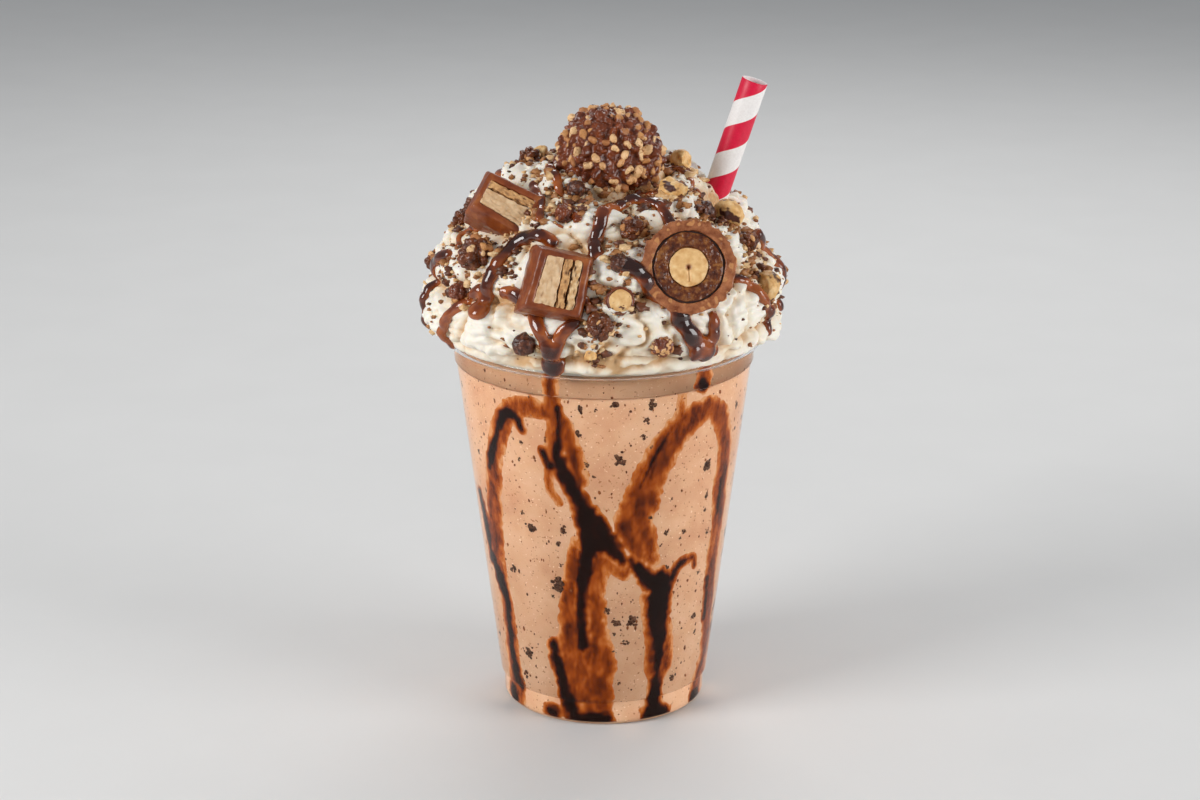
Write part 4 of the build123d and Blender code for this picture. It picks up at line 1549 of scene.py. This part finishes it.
# %% Streams: half width at the start and the end in mm, and points (degrees, elevation)
streams = [
    (1.9, 2.3, [(33, 45), (31, 50), (29, 55), (20, 59), (10, 57), (1, 53), (-2, 47), (-4, 42),
                (-3, 37)]),
    (1.4, 1.0, [(20, 59), (28, 58), (36, 52)]),
    (2.2, 2.5, [(-20, 40), (-24, 42), (-33, 42), (-39, 39), (-40, 33), (-41, 28), (-42, 23),
                (-43, 19)]),
    (1.9, 1.7, [(-42, 24), (-48, 20), (-55, 14), (-60, 9), (-64, 3), (-65, -1)]),
    (1.7, 1.4, [(-62, 40), (-69, 39), (-72, 35), (-67, 31)]),
    (1.9, 1.7, [(-68, 29), (-78, 23), (-83, 16), (-82, 10), (-84, 3), (-84, -1)]),
    (2.1, 2.4, [(-25, 21), (-21, 15), (-18, 10), (-17, 4), (-18, 0)]),
    (2.1, 2.6, [(-8, 17), (-13, 13), (-15, 8), (-17, 3), (-17, -1)]),
    (2.4, 3.2, [(6, 34), (11, 32), (14, 29), (17, 25), (22, 22), (24, 18), (26, 13), (30, 8), (33, 5)]),
    (3.2, 2.8, [(27, 6), (33, 5), (40, 4)]),
    (2.0, 2.2, [(36, 17), (36, 10), (36, 5)]),
    (2.0, 1.8, [(52, 25), (57, 22), (61, 15), (66, 9), (66, 5)]),
    (1.3, 1.1, [(92, 69), (90, 65), (79, 61), (65, 57), (59, 53)]),
    (1.4, 1.4, [(-57, 62), (-44, 58), (-34, 53)]),
    (1.3, 1.5, [(-9, 22), (-7, 24), (-5, 21)]),
    (2.4, 2.2, [(-37, 23), (-31, 23), (-26, 20)]),
    (1.8, 1.8, [(-26, 47), (-18, 46)]),
    (1.5, 1.7, [(-17, 53), (-13, 50), (-11, 47)]),
    (1.3, 1.6, [(-40, 58), (-34, 52), (-30, 47)]),
    (1.6, 1.4, [(-60, 70), (-40, 66), (-28, 60)]),
    (1.4, 1.6, [(30, 68), (38, 62), (40, 56)]),
    (2.1, 2.4, [(100, 52), (112, 44), (120, 34), (118, 24), (124, 14), (122, 4), (123, -1)]),
    (1.9, 1.8, [(140, 56), (150, 46), (160, 36), (158, 24), (166, 12)]),
    (2.1, 2.4, [(-110, 54), (-124, 46), (-132, 36), (-128, 26), (-134, 14), (-133, 3), (-134, -1)]),
    (1.8, 1.7, [(-160, 50), (-170, 40), (-166, 28), (-172, 16)]),
    (1.8, 2.2, [(80, 34), (88, 26), (94, 16), (92, 6)]),
]


# %% One stream as flattened rings
def stream_rings(path, ways, widths, around=14):
    """Rings along a path, flattened where they face the cream's surface."""
    along = np.gradient(path, axis=0)
    along /= np.linalg.norm(along, axis=1)[:, None] + 1e-9
    side = np.cross(along, ways)
    side /= np.linalg.norm(side, axis=1)[:, None]
    up = np.cross(side, along)
    turns = whole_turn(around)
    lift = np.sin(turns) * np.where(np.sin(turns) > 0, 0.72, 0.8)
    out = side[:, None] * np.cos(turns)[:, None] + up[:, None] * lift[:, None]
    return path[:, None] + widths[:, None, None] * out


def make_stream(name, start, end, stops, seed):
    path = smooth_path(stops, 14)
    places = [on_cream(a, e) for a, e in path]
    points = np.array([p for p, _ in places])
    ways = np.array([n for _, n in places])
    for _ in range(3):
        points[1:-1] = (points[:-2] + 2 * points[1:-1] + points[2:]) / 4
        ways[1:-1] = (ways[:-2] + ways[1:-1] + ways[2:]) / 3
    t = np.linspace(0, 1, len(points))
    widths = start + (end - start) * t
    widths *= 1 + 0.22 * soft_noise(points, 5.0, seed)
    widths *= np.clip(np.minimum(t, 1 - t) * len(t) / 3 + 0.35, 0, 1)
    points = points + ways * widths[:, None] * 0.16
    return rings_piece(name, stream_rings(points, ways, widths))


parts = [
    make_stream(f"stream_{k}", start, end, stops, 100 + k)
    for k, (start, end, stops) in enumerate(streams)
]
# Drops where streams end: (degrees, elevation, radius).
drops = [(-43, 16, 3.6), (-17, 2, 4.0), (-3, 38, 2.7), (33, 5, 3.6), (-65, 0, 2.2), (66, 5, 2.6),
         (122, 1, 3.0), (-134, 1, 2.8), (92, 6, 3.0), (166, 12, 2.6), (-172, 16, 2.6)]
for degree, up, size in drops:
    point, way = on_cream(degree, up)
    drop = fine_ball(3)
    turned = Vector(way).to_track_quat("Z", "Y").to_matrix().to_4x4()
    flat = Matrix.Diagonal((size, size, size * 0.62, 1))
    put(drop, Matrix.Translation(Vector(point) * MM) @ turned @ flat)
    parts.append(drop)
drizzle = join("sauce_drizzle", parts)
apply_modifier(drizzle, "REMESH", mode="VOXEL", voxel_size=0.4 * MM)
apply_modifier(drizzle, "SMOOTH", factor=0.6, iterations=6)
over = []
for place in points_of(drizzle).tolist():
    point, normal, _, away = cream_tree.find_nearest(Vector(place))
    over.append(away if (Vector(place) - point).dot(normal) > 0 else 0)
depth = np.clip(np.array(over) / 2.0, 0, 1)
# Where the sauce ran thin and shows brown: (degrees, elevation, reach in mm).
for degree, up, reach in (
    (-43, 17, 7), (-60, 8, 9), (-20, 12, 6), (33, 8, 6), (0, 52, 5), (-33, 22, 6), (60, 18, 6),
    (116, 40, 9), (-130, 30, 9), (158, 30, 9), (-168, 34, 9),
):
    depth -= 0.55 * nearness(points_of(drizzle), on_cream(degree, up)[0], reach)
paint(drizzle, "thickness", np.clip(depth, 0, 1))

# %% Dark chocolate sauce
drizzle_finish = new_material("dark chocolate sauce, poured")
drizzle_depth = add(drizzle_finish, "Attribute", {"attribute_name": "thickness"}, "Fac")
drizzle_clouds = lumps(drizzle_finish, 9.0, detail=2.0)
thinner = add(
    drizzle_finish,
    "MapRange",
    {**soft_step, "Value": drizzle_clouds, "From Min": 0.45, "From Max": 0.65},
)
thinner = add(drizzle_finish, "Math", {"operation": "MULTIPLY", 0: thinner, 1: 0.5})
drizzle_depth = add(drizzle_finish, "Math", {"operation": "SUBTRACT", 0: drizzle_depth, 1: thinner})
drizzle_colour = add(
    drizzle_finish,
    "ValToRGB",
    {
        "Fac": drizzle_depth,
        "stops": [(0.0, "#9c4f1c"), (0.25, "#7c3712"), (0.55, "#4c1c0a"), (0.9, "#2a0e06")],
    },
)
surface(
    drizzle_finish,
    drizzle_colour,
    {"Roughness": 0.1, "IOR": 1.47, "Coat Weight": 0.4, "Coat Roughness": 0.04},
)
finish_piece(drizzle, "sauce_drizzle", drizzle_finish)

# %% [markdown]
# ## Crumbs
# Chocolate and nut crumbs lie all over the cream, thicker near the toppings. One small broken
# shape of a few faces is copied hundreds of times, each copy turned, sized and set down on
# the cream where a ray from the middle of the rim meets it.


# %% Scattering crumbs
crumb_places = []
for middle, size in seats:
    crumb_places.append((middle - (0, 0, cup_height), size))
# Where more crumbs were strewn: (degrees round, elevation, spread in mm).
for degree, up, spread in (
    (-150, 66, 6), (-110, 66, 6), (-70, 68, 6), (-35, 66, 5), (10, 66, 4), (60, 66, 6), (110, 66, 6),
    (160, 66, 6), (-22, 56, 5), (-45, 48, 6), (-60, 34, 6), (-38, 30, 4), (-5, 30, 5), (12, 46, 4),
    (32, 58, 6), (48, 44, 5), (60, 30, 6), (70, 18, 5), (-72, 24, 6), (-8, 48, 4), (4, 24, 4),
    (130, 40, 8), (-120, 36, 8), (180, 44, 8), (100, 26, 7), (-150, 22, 8), (155, 20, 8),
):
    crumb_places.append((on_cream(degree, up)[0] - (0, 0, cup_height), spread / 0.9))


# Where the cream stayed clean: (degrees round, elevation, reach in mm).
clean_places = []
for degree, up, spread in (
    (-12, 46, 6), (8, 47, 6), (16, 50, 4), (-30, 33, 4), (0, 31, 4), (-50, 9, 9), (-30, 9, 8),
    (-9, 6, 6), (14, 9, 8), (45, 12, 9),
):
    clean_places.append((on_cream(degree, up)[0], spread))


def scatter_crumbs(name, count, sizes, seed, near=0.5):
    rng = np.random.default_rng(seed)
    shape, faces = lump_shape(2 if sizes[1] > 1.5 else 1)
    copies = []
    for k in range(count):
        if rng.uniform() < near:
            middle, size = crumb_places[rng.integers(len(crumb_places))]
            x, y, z = middle + rng.normal(0, size * 0.9, 3)
            degree = degrees(np.arctan2(x, -y))
            up = degrees(np.arctan2(z, np.hypot(x, y)))
        else:
            degree = rng.uniform(-180, 180)
            up = degrees(np.arcsin(rng.uniform(0.03, 0.93)))
        if up < 1:
            continue
        point, way = on_cream(degree, up)
        clean = any(np.linalg.norm(point - place) < reach for place, reach in clean_places)
        if clean and rng.uniform() < 0.8:
            continue
        size = sizes[0] + (sizes[1] - sizes[0]) * rng.uniform() ** 2
        lumpy = shape * (1 + 0.28 * rng.normal(size=(len(shape), 1))).clip(0.5, 1.5)
        turned = np.array(Vector(rng.normal(size=3)).to_track_quat("X", "Y").to_matrix())
        flat = lumpy @ turned.T * size * np.array([1, 0.85, 0.7])
        copies.append(flat + point + way * size * 0.25)
    return copies_piece(name, copies, faces)


crumb_kinds = (
    ("crumbs_chocolate", 700, (0.25, 0.95), 71, 0.9, "#40200f", "#794326", 0.4),
    ("crumbs_brown", 1600, (0.25, 1.05), 72, 0.9, "#80461f", "#b37945", 0.5),
    ("crumbs_nut", 900, (0.3, 1.05), 73, 0.92, "#c99559", "#efcb98", 0.55),
    ("crumbs_large_chocolate", 330, (0.7, 2.0), 74, 0.95, "#40200f", "#7e4526", 0.4),
    ("crumbs_large_brown", 330, (0.7, 1.9), 76, 0.95, "#80481f", "#b98049", 0.5),
    ("crumbs_large_nut", 170, (0.7, 1.8), 75, 0.95, "#c9965c", "#f2d3a2", 0.5),
)
for name, count, sizes, seed, near, dark, light, roughness in crumb_kinds:
    crumbs = scatter_crumbs(name, count, sizes, seed, near)
    look = {"Roughness": roughness}
    stops = [(0.3, dark), (0.7, light)]
    finish = plain_finish(name.replace("_", " "), 2.0, stops, look, bump=(0.4, 3.0))
    finish_piece(crumbs, name, finish)

# %% [markdown]
# ## The paper straw
# A paper straw is wound from strips on a slant, which gives its spiral seam and stripes. A
# tube is made upright, its UV map says how far round and how far up each corner is, and it is
# then leaned over to where the CAD straw stands.

# %% The straw's place, from the ends of the CAD straw
straw_radius = 4.0
straw_inside = 3.6
straw_lean = radians(18.0)
straw_axis = np.array([sin(straw_lean), 0, cos(straw_lean)])
straw_points = points_of(nodes["straw"])
reach = straw_points @ straw_axis
mouth_edge = straw_points[reach > reach.max() - 0.05]
mouth = (mouth_edge.min(0) + mouth_edge.max(0)) / 2
straw_length = float(np.ptp(reach))
print("straw", round(straw_length, 1), "mm long, mouth at", mouth.round(1))

# %% The tube and its UV map
straw_rows = [(straw_inside, -straw_length), (straw_radius, -straw_length)]
straw_rows += [(straw_radius, z) for z in np.linspace(-straw_length + 1, -0.12, 60)]
straw_rows += [(3.95, -0.03), (3.85, 0.0), (3.72, 0.0), (3.63, -0.05)]
straw_rows += [(straw_inside, -0.15), (straw_inside, -30.0)]
columns = 72
turns = whole_turn(columns)
straw = rings_piece("straw_paper", [ring(turns, r, z) for r, z in straw_rows], ends=False)
stripe_pitch = 17.0
uv = straw.data.uv_layers.new(name="wound")
for face in straw.data.polygons:
    first = face.vertices[0] % columns
    for loop in face.loop_indices:
        index = straw.data.loops[loop].vertex_index
        column = index % columns
        if column == 0 and first > columns // 2:
            column = columns
        height = straw.data.vertices[index].co.z / MM
        uv.data[loop].uv = (column / columns, height / stripe_pitch)
lean = Matrix.Rotation(straw_lean, 3, "Y")
set_points(straw, points_of(straw) @ np.array(lean).T + mouth)

# %% Striped paper
paper = new_material("striped wound paper")
uv_place = add(paper, "UVMap", {"uv_map": "wound"})
how_far_up = add(paper, "SeparateXYZ", {"Vector": uv_place}, "Y")
how_far_round = add(paper, "SeparateXYZ", {"Vector": uv_place}, "X")
lap = add(paper, "Math", {"operation": "SUBTRACT", 0: how_far_up, 1: how_far_round})
lap = add(paper, "Math", {"operation": "FRACT", 0: lap})
lower_edge = add(paper, "MapRange", {**soft_step, "Value": lap, "From Min": 0.0, "From Max": 0.012})
upper_edge = add(paper, "MapRange", {**soft_step, "Value": lap, "From Min": 0.5, "From Max": 0.512})
red_share = add(paper, "Math", {"operation": "SUBTRACT", 0: lower_edge, 1: upper_edge})
fibres = lumps(paper, 0.6, detail=4.0)
red = add(paper, "ValToRGB", {"Fac": fibres, "stops": [(0.2, "#cc0530"), (0.8, "#e01243")]})
white = add(paper, "ValToRGB", {"Fac": fibres, "stops": [(0.2, "#e6e1de"), (0.8, "#f5f2ef")]})
striped = add(paper, "Mix", {**of_colours, 0: red_share, 6: white, 7: red}, 2)
surface(paper, striped, {"Roughness": 0.42, "IOR": 1.45}, height=fibres, relief=0.03)
finish_piece(straw, "straw_paper", paper, ["straw"])
